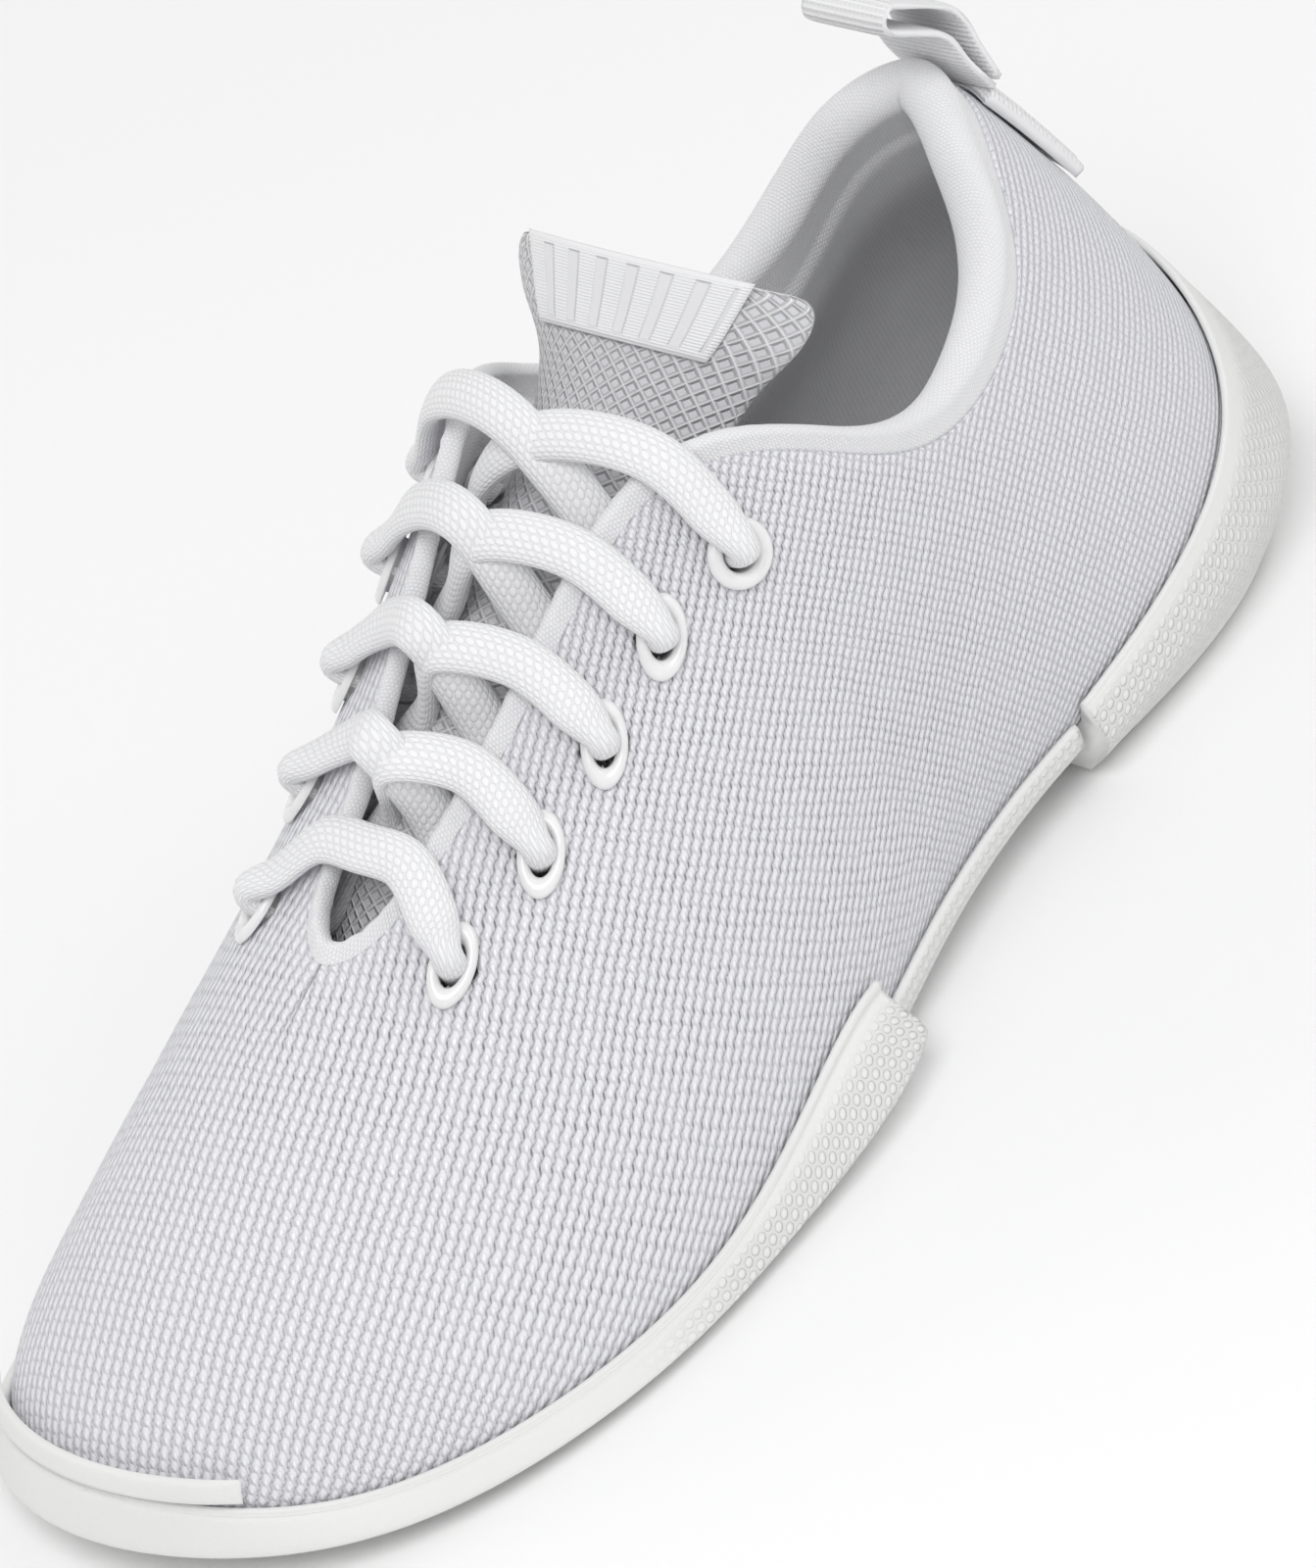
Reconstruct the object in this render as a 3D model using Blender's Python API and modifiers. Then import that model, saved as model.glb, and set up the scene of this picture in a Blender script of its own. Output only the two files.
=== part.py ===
"""Split-sole cheer shoe for the left foot: knit upper, padded collar, tongue, five pairs of
eyelets with a criss-cross lace, and a moulded sole in two units with a bare arch between them.

Frame: +X runs from heel to toe, +Y to the outer (lateral) side, +Z up, the ground at z = 0.
A station number runs once around the shoe: 0 at the back of the heel, 10 at the toe tip,
0 to 10 along the lateral side and 10 to 20 back along the medial side. v runs up the upper,
0 at the feather edge, where upper meets sole, and 1 at its top edge.
"""
import math

import bmesh
import bpy
import numpy as np
from mathutils import Matrix, Vector

MM = 0.001

# ---------------------------------------------------------------- driving dimensions (metres)
LAST_LENGTH = 0.248          # feather edge, heel to toe
BALL_WIDTH = 0.088           # feather edge, across the ball
COLLAR_HEIGHT = 0.087        # top edge of the knit at the heel, above the ground
SAMPLE_SIZE = (0.248, 0.088, 0.087)   # the size that the station rows below are written for

GAP = 0.00035                # clearance between pieces that touch on the real shoe
KNIT = 0.0014                # wall of the knit upper
STIFFENER = 0.0009           # toe puff, heel counter and eyestay wall
LINING = 0.0007              # wall of the linings
COLLAR_FOAM = 0.0042         # extra depth of the padded collar
BINDING_ANKLE = 0.0040       # radius of the rolled edge round the ankle
BINDING_THROAT = 0.0016      # radius of the bound edge along the throat
BINDING_PROUD = 0.0008       # how far the rolled edge stands outside the knit
BINDING_SEAT = 0.0018        # rolled edge above the top of the layers

BOARD = 0.0012               # strobel board under the foot
INSOLE = 0.0028              # footbed
PAD = 0.0012                 # rubber outsole pads
PAD_INSET = 0.0045           # pad edge inside the sole's ground edge
SOLE_LIP = 0.0012            # wall of the sole where it cups the upper
SHANK = 0.0024               # arch strip between the two sole units
ARCH_LIP = 0.035             # height to which the arch strip turns up along the knit
TOE_SPRING = 0.0045          # rise of the ground line at the toe tip
HEEL_BEVEL = 0.0030          # rise of the ground line at the back of the heel

EYELET_ROWS = 5
EYELET_PITCH = 0.0166        # along the throat
EYELET_START = 0.0205        # first row, from the bottom of the throat
EYELET_EDGE = 0.0135         # hole centre to the throat edge
EYELET_BORE = 0.0026         # radius of the hole that the lace goes through
EYELET_WALL = 0.0005
EYELET_FLANGE = 0.0050       # outer radius of the ring
EYELET_RING = 0.0010         # thickness of the ring and of the washer behind
EYELET_ROUND = 0.0006        # its rounded rim
EYELET_SEAT = 0.0005         # ring above the knit, washer below the lining (the wall is curved)

LACE = 0.0016                # radius that stands for the soft oval lace
AGLET = 0.0014               # radius of the tipped ends
AGLET_LENGTH = 0.0180
CROSS_RISE = 0.0055          # height of the lower crossing strand over the throat edges
LACE_CROSS = 0.0042          # height of the upper strand over the lower one where they cross
LACE_OVER = 0.0016           # extra height of the lace over the rolled edge
LACE_LEAN = 0.0025           # how far it lies to the toe side there
LACE_BACK = 0.0030           # how far it lies to the heel side where it comes up again
LACE_BEND = 0.0012           # distance from the hole's axis at its turns
LACE_EASE = 0.0004           # spare clearance at the turns

TONGUE = 0.0050              # thickness of the padded tongue
TONGUE_LINING = 0.0008
PATCH = (0.0150, 0.0120, 0.0010)      # half width, length and thickness of the stitched patch

TAB_WIDTH = 0.0150           # webbing of the heel pull tab
TAB_WALL = 0.0013
TAB_FREE = 0.0280            # length of the free loop
TAB_LOW = 0.60               # the strip is sewn down from here
TAB_ROOT = 0.93              # to here, where the loop starts
TAB_FOLD = 0.0012            # how far its two layers stand apart at the fold
TAB_SHARES = (0.25, 0.30, 0.45)       # the loop's three bends, as shares of its length
TAB_LEAN = (0.78, 0, 0.62)   # direction of its end, forward over the collar

# Feather edge (B) and top edge (T) of the upper with their tangents, in mm on the sample last.
# The tangents M0 and M1 say how the wall leaves B and reaches T.
#    B                T                M0               M1
UPPER = (
    ((-3, 0, 18), (19, 0, 87), (-20, 0, 46), (14, 0, 22)),
    ((8, 24, 15), (29, 16, 82.5), (-10, 16, 46), (10, -12, 28)),
    ((38, 33, 12), (44, 27, 71), (0, 14, 46), (0, -10, 34)),
    ((75, 33, 11), (70, 32, 69), (0, 14, 44), (-2, -6, 34)),
    ((105, 36, 9), (92, 30, 84), (0, 14, 46), (0, -14, 42)),
    ((130, 41, 6), (112, 20, 90), (0, 14, 48), (0, -34, 38)),
    ((160, 45, 4), (137, 14, 76), (2, 12, 46), (-6, -44, 30)),
    ((190, 44, 4), (156, 11, 65), (6, 10, 44), (-20, -46, 26)),
    ((220, 34, 6), (171, 8, 58.5), (10, 8, 42), (-40, -30, 24)),
    ((238, 17, 9), (178, 4, 56), (12, 5, 42), (-55, -14, 22)),
    ((245, -5, 11), (180, 0, 55.5), (12, -1, 42), (-60, 0, 22)),
    ((240, -25, 10), (178, -4, 56), (12, -5, 42), (-55, 14, 22)),
    ((224, -37, 7), (171, -8, 58.5), (10, -8, 42), (-40, 30, 24)),
    ((195, -43, 4), (156, -11, 65), (6, -10, 46), (-20, 46, 26)),
    ((165, -43, 4), (137, -14, 76), (2, -10, 50), (-6, 44, 30)),
    ((135, -36, 7), (112, -19, 90), (0, -10, 50), (0, 34, 38)),
    ((105, -29, 11), (93, -28, 82), (0, -12, 46), (0, 12, 42)),
    ((75, -28, 12), (70, -27, 66), (0, -14, 42), (-2, 5, 32)),
    ((38, -31, 12), (44, -24, 68), (0, -12, 46), (0, 9, 34)),
    ((8, -23, 15), (29, -15.5, 82), (-10, -14, 46), (10, 12, 28)),
)
# Sole wall at each station: v of its top edge on the upper, ground edge out from the feather,
# widest line out from the feather, height of the widest line above the feather (mm).
SOLE = (
    (0.38, -1.0, 9.5, 0.0), (0.28, 0.0, 7.0, 1.5), (0.15, 0.0, 5.0, 0.5), (0.05, -1.5, 4.0, -3.0),
    (0.05, -1.0, 3.0, -1.0), (0.15, 3.0, 9.0, 2.0), (0.085, 3.5, 6.0, 0.0), (0.05, 2.5, 5.0, -0.5),
    (0.05, 2.0, 5.0, -1.0), (0.06, 2.0, 5.0, -1.5), (0.08, 2.0, 5.0, -2.0), (0.07, 2.0, 5.0, -2.0),
    (0.05, 2.0, 5.0, -1.0), (0.05, 2.5, 5.0, -0.5), (0.08, 2.5, 5.5, 0.0), (0.14, 2.5, 7.0, 1.5),
    (0.05, -1.0, 3.0, -1.0), (0.05, -1.5, 4.0, -3.0), (0.15, 0.0, 5.0, 0.5), (0.28, 0.0, 7.0, 1.5),
)
HEEL_UNIT_END = 2.70         # station where the heel unit stops
FORE_UNIT_START = 4.80       # station where the forefoot unit starts
RING_LINES = 60              # lines around the upper
ROWS = (0.0, 0.06, 0.18, 0.32, 0.46, 0.60, 0.76, 0.88, 1.0)
SHELL_V = ROWS[1:]           # rows of the inner layers, which stop above the board
SOLE_V_STEPS = 3
PAIR = 20                    # stations s and PAIR - s face each other across the shoe
LINING_SEAM = 7.0            # station where the quarter lining meets the vamp lining
SEAM_GAP = 0.02              # space between two pieces that meet at a station
ARCH_GAP = 0.06              # the same at the ends of the arch strip, whose neighbours lean

# Middle line of the tongue: x, z, half width and drop at its edges, in mm on the sample last.
TONGUE_ROWS = (
    (190, 45.5, 12, 3), (176, 47.5, 17, 7), (158, 57, 20, 12.5), (139, 68, 21, 14.5),
    (120, 78.5, 20, 12.2), (107, 87.1, 17.5, 8.3), (97, 95, 20, 8.5), (91, 100.5, 26, 8),
    (86, 106, 31, 8.5),
)
TONGUE_FLEX_ROW = 5.8        # the top of the tongue bends here, above the last crossing
PATCH_ROW = 7.3              # middle of the stitched patch
BALL_BEND = (188, 1, 3)      # the sole bends across here, under the ball of the foot

TAIL_LATERAL = ((108, 25, 68), (110, 25, 55), (118, 25, 40), (132, 26, 29), (150, 28, 25))
TAIL_MEDIAL = ((108, -23.5, 68), (110, -23, 55), (118, -21, 40), (132, -20, 30), (150, -23, 25))

WHITE_KNIT = (0.80, 0.80, 0.83)
WHITE_CLOTH = (0.84, 0.84, 0.85)
WHITE_RUBBER = (0.80, 0.80, 0.78)
FOAM_GREY = (0.62, 0.62, 0.64)
ENAMEL = (0.86, 0.86, 0.86)

grade = np.array([a / b for a, b in zip((LAST_LENGTH, BALL_WIDTH, COLLAR_HEIGHT), SAMPLE_SIZE)])


def clear_scene():
    """Empty the file, so that the script can be run again."""
    for thing in list(bpy.data.objects):
        bpy.data.objects.remove(thing, do_unlink=True)


def graded(rows):
    """Rows of points in mm on the sample last, as an array in metres at the chosen size."""
    return np.array(rows, float) * MM * grade


def ring_spline(values, s):
    """Closed cubic spline through one row per station, read at the stations s."""
    values = np.asarray(values, float)
    n = len(values)
    system = 4 * np.eye(n) + np.roll(np.eye(n), 1, 0) + np.roll(np.eye(n), -1, 0)
    slope = np.linalg.solve(system, 3 * (np.roll(values, -1, 0) - np.roll(values, 1, 0)))
    s = np.asarray(s, float)
    k = np.floor(s).astype(int)
    f = (s - k)[..., None]
    a, b = k % n, (k + 1) % n
    return hermite(values[a], slope[a], values[b], slope[b], f)


def hermite(p, tangent_p, q, tangent_q, f):
    """Cubic from p to q with the given end tangents, at the fraction f."""
    return ((2 * f**3 - 3 * f**2 + 1) * p + (f**3 - 2 * f**2 + f) * tangent_p
            + (3 * f**2 - 2 * f**3) * q + (f**3 - f**2) * tangent_q)


stations = graded(UPPER).reshape(len(UPPER), 12)
sole_rows = np.array(SOLE, float) * np.array([1, MM, MM, MM])


def wall(s, v, depth=0.0):
    """Points of the upper's outer face at station s and height v, moved in by depth."""
    s, v = np.broadcast_arrays(np.asarray(s, float), np.asarray(v, float))
    point = wall_face(s, v)
    return point - np.asarray(depth)[..., None] * wall_normal(s, v)


def wall_face(s, v):
    """The outer face itself: a cubic from the feather edge to the top edge."""
    row = ring_spline(stations, s)
    b, t, m0, m1 = row[..., 0:3], row[..., 3:6], row[..., 6:9], row[..., 9:12]
    return hermite(b, m0, t, m1, v[..., None])


def wall_slopes(s, v):
    """Unit directions along the stations and up the wall."""
    step = 0.01
    along = wall_face(s + step, v) - wall_face(s - step, v)
    up = wall_face(s, v + step) - wall_face(s, v - step)
    return unit(along), unit(up)


def wall_normal(s, v):
    """Outward normal of the upper."""
    along, up = wall_slopes(s, v)
    return unit(np.cross(up, along))


def unit(vector):
    """Vectors at length one."""
    return vector / np.linalg.norm(vector, axis=-1, keepdims=True)


def ramp(x, a, b):
    """0 before a, 1 after b and smooth between."""
    t = np.clip((np.asarray(x, float) - a) / (b - a), 0, 1)
    return t * t * (3 - 2 * t)


def around(s):
    """Distance in stations from the back of the heel, along either side."""
    s = np.mod(np.asarray(s, float), PAIR)
    return np.minimum(s, PAIR - s)


def stack_depth(s, v):
    """Depth of the lining's outer face: past knit and stiffener, and past foam at the collar."""
    foam = (1 - ramp(around(s), 3.0, 4.2)) * ramp(v, 0.45, 0.80)
    return KNIT + STIFFENER + 3 * GAP + COLLAR_FOAM * foam


def binding_radius(s):
    """Radius of the rolled edge: thick round the ankle, thin along the throat."""
    return BINDING_ANKLE + (BINDING_THROAT - BINDING_ANKLE) * ramp(around(s), 2.6, 4.8)


# ------------------------------------------------------------------------- scene helpers

def collection(name):
    """A new collection in the scene."""
    made = bpy.data.collections.new(name)
    bpy.context.scene.collection.children.link(made)
    return made


def material(name, colour, roughness, metallic=0.0):
    """Principled material of one piece."""
    made = bpy.data.materials.new(name)
    made.use_nodes = True
    shader = made.node_tree.nodes["Principled BSDF"]
    shader.inputs["Base Color"].default_value = (*colour, 1)
    shader.inputs["Roughness"].default_value = roughness
    shader.inputs["Metallic"].default_value = metallic
    return made


def place(name, data, colour, roughness, metallic=0.0):
    """Add one object with its own material to the shoe."""
    obj = bpy.data.objects.new(name, data)
    shoe.objects.link(obj)
    data.materials.append(material(name, colour, roughness, metallic))
    return obj


def mesh_from(name, points, faces):
    """Mesh with faces turned outward and coincident points joined."""
    mesh = bpy.data.meshes.new(name)
    mesh.from_pydata([tuple(map(float, p)) for p in points], [], faces)
    work = bmesh.new()
    work.from_mesh(mesh)
    bmesh.ops.remove_doubles(work, verts=work.verts, dist=1e-6)
    bmesh.ops.dissolve_degenerate(work, edges=work.edges, dist=1e-6)
    bmesh.ops.recalc_face_normals(work, faces=work.faces)
    work.to_mesh(mesh)
    work.free()
    mesh.shade_smooth()
    return mesh


def grid_faces(rows, columns, wrap_rows=False, wrap_columns=False):
    """Quads of a grid of points stored row by row."""
    faces = []
    for i in range(rows if wrap_rows else rows - 1):
        for j in range(columns if wrap_columns else columns - 1):
            a, b = i, (i + 1) % rows
            c, d = j, (j + 1) % columns
            faces.append((a * columns + c, a * columns + d, b * columns + d, b * columns + c))
    return faces


def face_out(mesh, towards):
    """Turn an open surface so that its first face looks along the given direction."""
    if mesh.polygons[0].normal.dot(Vector(towards)) < 0:
        mesh.flip_normals()


def layer(name, s_values, v_values, depth, thickness, colour, roughness, closed=False):
    """Layer of the upper: an open loft at one depth, given its wall by Solidify."""
    s, v = np.meshgrid(s_values, v_values, indexing="ij")
    points = wall(s, v, depth(s, v) if callable(depth) else np.full(s.shape, depth))
    faces = grid_faces(len(s_values), len(v_values), wrap_rows=closed)
    mesh = bpy.data.meshes.new(name)
    mesh.from_pydata([tuple(map(float, p)) for p in points.reshape(-1, 3)], [], faces)
    mesh.shade_smooth()
    face_out(mesh, wall_normal(s[0, 0], v[0, 0]))
    obj = place(name, mesh, colour, roughness)
    solid = obj.modifiers.new("wall", "SOLIDIFY")
    solid.thickness = thickness
    solid.offset = -1
    return obj


def loft(name, ribs, colour, roughness, caps=(True, True)):
    """Closed solid through a row of equal rib outlines, with a cap where an end is open."""
    ribs = np.asarray(ribs)
    count, size = ribs.shape[:2]
    faces = grid_faces(count, size, wrap_columns=True)
    faces += [tuple(rib * size + j for j in range(size))
              for rib, cap in zip((0, count - 1), caps) if cap]
    return place(name, mesh_from(name, ribs.reshape(-1, 3), faces), colour, roughness)


def lines(first, last):
    """Lines of the shared grid between two stations, so that layers nest facet in facet."""
    step = PAIR / RING_LINES
    return np.arange(round(first / step), round(last / step) + 1) * step


def rows_between(low, high):
    """Rows of the shared grid between two heights."""
    return [v for v in SHELL_V if low - 1e-6 <= v <= high + 1e-6]


def tube(name, points, radius, colour, roughness, metallic=0.0, cyclic=False, sides=3):
    """Round solid along a chain of points: a POLY curve with a bevel."""
    curve = bpy.data.curves.new(name, "CURVE")
    curve.dimensions = "3D"
    curve.bevel_resolution = sides
    curve.bevel_depth = 1.0
    curve.use_fill_caps = not cyclic
    spline = curve.splines.new("POLY")
    spline.points.add(len(points) - 1)
    radii = np.broadcast_to(radius, len(points))
    for knot, p, r in zip(spline.points, points, radii):
        knot.co = (*map(float, p), 1)
        knot.radius = float(r)
    spline.use_cyclic_u = cyclic
    return place(name, curve, colour, roughness, metallic)


# ------------------------------------------------------------------------- eyelet positions

def throat_line(side):
    """Fine chain of stations and points where the eyelets can sit, from the throat's bottom."""
    s = np.linspace(10, 4.3, 400)
    s = s if side > 0 else PAIR - s
    up = np.linspace(1, 0.6, 60)
    grid = wall(s[:, None], up[None, :])
    run = np.cumsum(np.linalg.norm(np.diff(grid, axis=1), axis=2), axis=1)
    v = np.array([np.interp(EYELET_EDGE, r, up[1:]) for r in run])
    edge = wall(s, 1.0)
    reach = np.concatenate([[0], np.cumsum(np.linalg.norm(np.diff(edge, axis=0), axis=1))])
    return s, v, reach


def eyelet_seats(side):
    """Station and height of each eyelet on one side: one pitch apart along the throat edge."""
    s, v, reach = throat_line(side)
    at = EYELET_START + EYELET_PITCH * np.arange(EYELET_ROWS)
    return [(float(np.interp(a, reach, s)), float(np.interp(a, reach, v))) for a in at]


def seat_frame(seat):
    """Centre on the knit's face, outward normal, direction to the throat and along it."""
    s, v = np.asarray(seat[0]), np.asarray(seat[1])
    along, up = wall_slopes(s, v)
    return wall_face(s, v), unit(np.cross(up, along)), up, along


def seat_depth(seat):
    """Depth of the lining's inner face at an eyelet."""
    return float(stack_depth(*seat)) + LINING


def hinge(name, point, *pieces):
    """Empty on the axis of a joint, with the pieces that turn about it under it."""
    axis = bpy.data.objects.new(name, None)
    shoe.objects.link(axis)
    axis.location = point
    for piece in pieces:
        child = shoe.objects[piece]
        child.parent = axis
        child.matrix_parent_inverse = Matrix.Translation(-Vector(point))


def hinges():
    """The three bends: at the ball of the foot, across the top of the tongue, at the tab."""
    hinge("ball_axis", graded(BALL_BEND), "toe_puff", "toe_bumper")
    x, z, _, _ = tongue_line(np.array([TONGUE_FLEX_ROW]))[0]
    hinge("tongue_axis", (x, 0, z), "tongue_patch")
    root, normal, _, _ = seat_frame((0.0, TAB_ROOT))
    hinge("tab_axis", root + normal * (2 * GAP + 2 * TAB_WALL + GAP), "pull_tab_loop")


def centre_in_frame():
    """Put the middle of the sole's outline over the origin, with every piece under one empty."""
    frame = bpy.data.objects.new("shoe_frame", None)
    shoe.objects.link(frame)
    for obj in [*shoe.objects, *cutters.objects]:
        if obj is not frame and obj.parent is None:
            obj.parent = frame
    s = np.linspace(0, PAIR, 400)
    out = ring_spline(sole_rows, s)
    rim = feather(s, out[:, 2])
    low, high = rim.min(0), rim.max(0)
    frame.location = (-(low[0] + high[0]) / 2, -(low[1] + high[1]) / 2, 0)


# ------------------------------------------------------------------------- the pieces

def upper_layers():
    """Knit shell, stiffeners, foam and linings, nested on one grid of lines."""
    whole = lines(0, PAIR)[:-1]
    stiff = KNIT + 1.5 * GAP
    layer("knit_upper", whole, ROWS, 0.0, KNIT, WHITE_KNIT, 0.85, closed=True)
    layer("toe_puff", lines(8.5, 11.5), rows_between(0.06, 0.46), stiff, STIFFENER,
          WHITE_CLOTH, 0.6)
    layer("heel_counter", lines(-2.5, 2.5), rows_between(0.06, 0.46), stiff, STIFFENER,
          FOAM_GREY, 0.6)
    layer("eyestay_lateral", lines(4.33, 9.33), rows_between(0.76, 1), stiff, STIFFENER,
          WHITE_CLOTH, 0.8)
    layer("eyestay_medial", lines(10.67, 15.67), rows_between(0.76, 1), stiff, STIFFENER,
          WHITE_CLOTH, 0.8)
    layer("quarter_lining", lines(-LINING_SEAM, LINING_SEAM), SHELL_V, stack_depth, LINING,
          WHITE_CLOTH, 0.75)
    front = lines(LINING_SEAM, PAIR - LINING_SEAM)
    front[[0, -1]] += np.array([SEAM_GAP, -SEAM_GAP])
    layer("vamp_lining", front, SHELL_V, stack_depth, LINING, WHITE_CLOTH, 0.75)


def collar_padding():
    """Foam inside the collar: it fills the depth between the knit and the lining."""
    s = lines(-3.75, 3.75)
    v = rows_between(0.60, 1.0)
    grid_s, grid_v = np.meshgrid(s, v, indexing="ij")
    outer = wall(grid_s, grid_v, np.full(grid_s.shape, KNIT + GAP))
    inner = wall(grid_s, grid_v, stack_depth(grid_s, grid_v) - 2 * GAP)
    ribs = [np.vstack([a, b[::-1]]) for a, b in zip(outer, inner)]
    loft("collar_padding", ribs, FOAM_GREY, 0.9)


def topline_binding():
    """Soft edge rolled over the whole top line, collar and throat."""
    s = lines(0, PAIR)[:-1]
    radius = binding_radius(s)
    up = wall_slopes(s, np.ones_like(s))[1]
    centre = wall(s, 1.0, radius - BINDING_PROUD) + up * (radius + BINDING_SEAT)[:, None]
    tube("topline_binding", centre, radius, WHITE_CLOTH, 0.7, cyclic=True, sides=3)


def feather(s, out, height=None):
    """Points out from the feather edge in plan, at the given height above the ground."""
    along, _ = wall_slopes(s, np.zeros_like(s))
    flat = unit(np.stack([-along[..., 1], along[..., 0], 0 * along[..., 0]], -1))
    point = wall_face(s, np.zeros_like(s)) + flat * np.asarray(out)[..., None]
    if height is not None:
        point[..., 2] = height
    return point


def ground(x):
    """Height of the ground line: flat, with a toe spring and a bevel at the heel."""
    toe = LAST_LENGTH * 0.80
    heel = LAST_LENGTH * 0.045
    rise = np.clip((x - toe) / (LAST_LENGTH - toe), 0, None) ** 2 * TOE_SPRING
    return rise + np.clip((heel - x) / (2 * heel), 0, 1.5) ** 2 * HEEL_BEVEL


def across(a, b, count):
    """Points on the straight lines between two facing points, ends included."""
    f = np.linspace(0, 1, count)[:, None]
    return a + (b - a) * f


def slab(name, s_values, low, high, colour, roughness, columns=5, caps=(True, True)):
    """Plate under the foot: low(s) and high(s) give its edge rings, facing sides are joined."""
    ribs = []
    for s in s_values:
        pair = np.array([s, PAIR - s])
        bottom, top = low(pair), high(pair)
        ribs.append(np.vstack([across(bottom[0], bottom[1], columns),
                               across(top[1], top[0], columns)]))
    return loft(name, ribs, colour, roughness, caps)


def board_edge(lift):
    """Edge ring of the strobel board, inside the knit."""
    def ring(s):
        point = feather(s, -(KNIT + 1.5 * GAP) * np.ones_like(s))
        point[..., 2] += lift
        return point
    return ring


def insole_edge(lift):
    """Edge ring of the footbed, inside the lining."""
    def ring(s):
        inset = KNIT + STIFFENER + LINING + 6 * GAP
        point = feather(s, -inset * np.ones_like(s))
        point[..., 2] += lift
        return point
    return ring


def underfoot():
    """Strobel board and footbed."""
    s = lines(0, 10)
    pointed = (False, False)
    slab("strobel_board", s, board_edge(0.0), board_edge(BOARD), WHITE_CLOTH, 0.9, caps=pointed)
    slab("insole", s, insole_edge(BOARD + GAP), insole_edge(BOARD + GAP + INSOLE),
         (0.55, 0.55, 0.57), 0.85, caps=pointed)


def sole_side(s):
    """Half outline of a sole unit on one side, from the middle of the seat to the ground."""
    s = np.asarray(s, float)
    lip, ground_out, wide_out, wide_up = ring_spline(sole_rows, s)
    seat = wall_face(s, np.asarray(0.0))
    corner = wall(s, 0.0, -GAP)
    corner[2] = seat[2] - GAP
    rise = np.linspace(0, 1, SOLE_V_STEPS + 1)[1:]
    inner = [wall(s, lip * r, -1.5 * GAP) for r in rise]
    edge = wall(s, lip, -(1.5 * GAP + SOLE_LIP))
    edge_low = wall(s, lip * 0.85, -(GAP + SOLE_LIP * 1.5))
    wide = feather(s, wide_out, seat[2] + wide_up)
    foot = feather(s, ground_out)
    foot[2] = ground(foot[0]) + PAD + GAP
    corner_out = (wide + foot) / 2 + (wide - foot) * np.array([0.2, 0.2, 0])
    return np.array([corner, *inner, edge, edge_low, wide, corner_out, foot])


def sole_unit(name, s_values, caps, colour, roughness):
    """Cupped sole unit: the two sides of each station joined across seat and ground."""
    ribs = []
    for s in s_values:
        left, right = sole_side(s), sole_side(PAIR - s)
        bottom = across(left[-1], right[-1], 7)[1:-1]
        seat = across(right[0], left[0], 7)[1:-1]
        ribs.append(np.vstack([left, bottom, right[::-1], seat]))
    return loft(name, ribs, colour, roughness, caps)


def soles():
    """Heel unit, forefoot unit, arch strip, toe bumper and the rubber pads under them."""
    heel = np.append(lines(0, HEEL_UNIT_END - 0.2), HEEL_UNIT_END)
    fore = np.insert(lines(5, 10), 0, FORE_UNIT_START)
    sole_unit("heel_sole", heel, (False, True), WHITE_RUBBER, 0.6)
    sole_unit("forefoot_sole", fore, (True, False), WHITE_RUBBER, 0.6)
    arch = np.linspace(HEEL_UNIT_END + ARCH_GAP, FORE_UNIT_START - ARCH_GAP, 7)
    loft("arch_strip", [arch_rib(s) for s in arch], WHITE_RUBBER, 0.65)
    layer("toe_bumper", lines(9.0, 11.5), (0.095, 0.125, 0.155), -(GAP + SOLE_LIP), SOLE_LIP,
          WHITE_RUBBER, 0.6)
    slab("heel_outsole_pad", lines(0.5, 2.5), pad_edge(0), pad_edge(PAD), WHITE_RUBBER, 0.7)
    slab("forefoot_outsole_pad", lines(5.25, 10), pad_edge(0), pad_edge(PAD), WHITE_RUBBER, 0.7,
         caps=(True, False))


def arch_rib(s):
    """Section of the arch strip: a thin plate that turns up along the knit at both edges."""
    half = []
    for side in (s, PAIR - s):
        seat = wall_face(np.asarray(side), np.asarray(0.0))
        corner = wall(side, 0.0, -GAP)
        corner[2] = seat[2] - GAP
        foot = feather(np.asarray(side), GAP + SOLE_LIP)
        foot[2] = seat[2] - GAP - SHANK
        half.append([corner, wall(side, ARCH_LIP, -GAP), wall(side, ARCH_LIP, -(GAP + SOLE_LIP)),
                     foot])
    left, right = half
    return np.array([*left, *across(left[-1], right[-1], 5)[1:-1], *right[::-1],
                     *across(right[0], left[0], 5)[1:-1]])


def pad_edge(lift):
    """Edge ring of the rubber pads: inside the sole's ground edge, standing on the ground."""
    def ring(s):
        out = ring_spline(sole_rows, s)[..., 1] - PAD_INSET
        point = feather(s, out)
        point[..., 2] = ground(point[..., 0]) + lift
        return point
    return ring


def tongue_line(t):
    """Row t of the tongue, read smoothly between the rows given above."""
    rows = np.array(TONGUE_ROWS, float) * MM * np.array([grade[0], grade[2], grade[1], grade[2]])
    slope = np.gradient(rows, axis=0)
    k = np.clip(np.floor(t).astype(int), 0, len(rows) - 2)
    f = (t - k)[..., None]
    return hermite(rows[k], slope[k], rows[k + 1], slope[k + 1], f)


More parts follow.
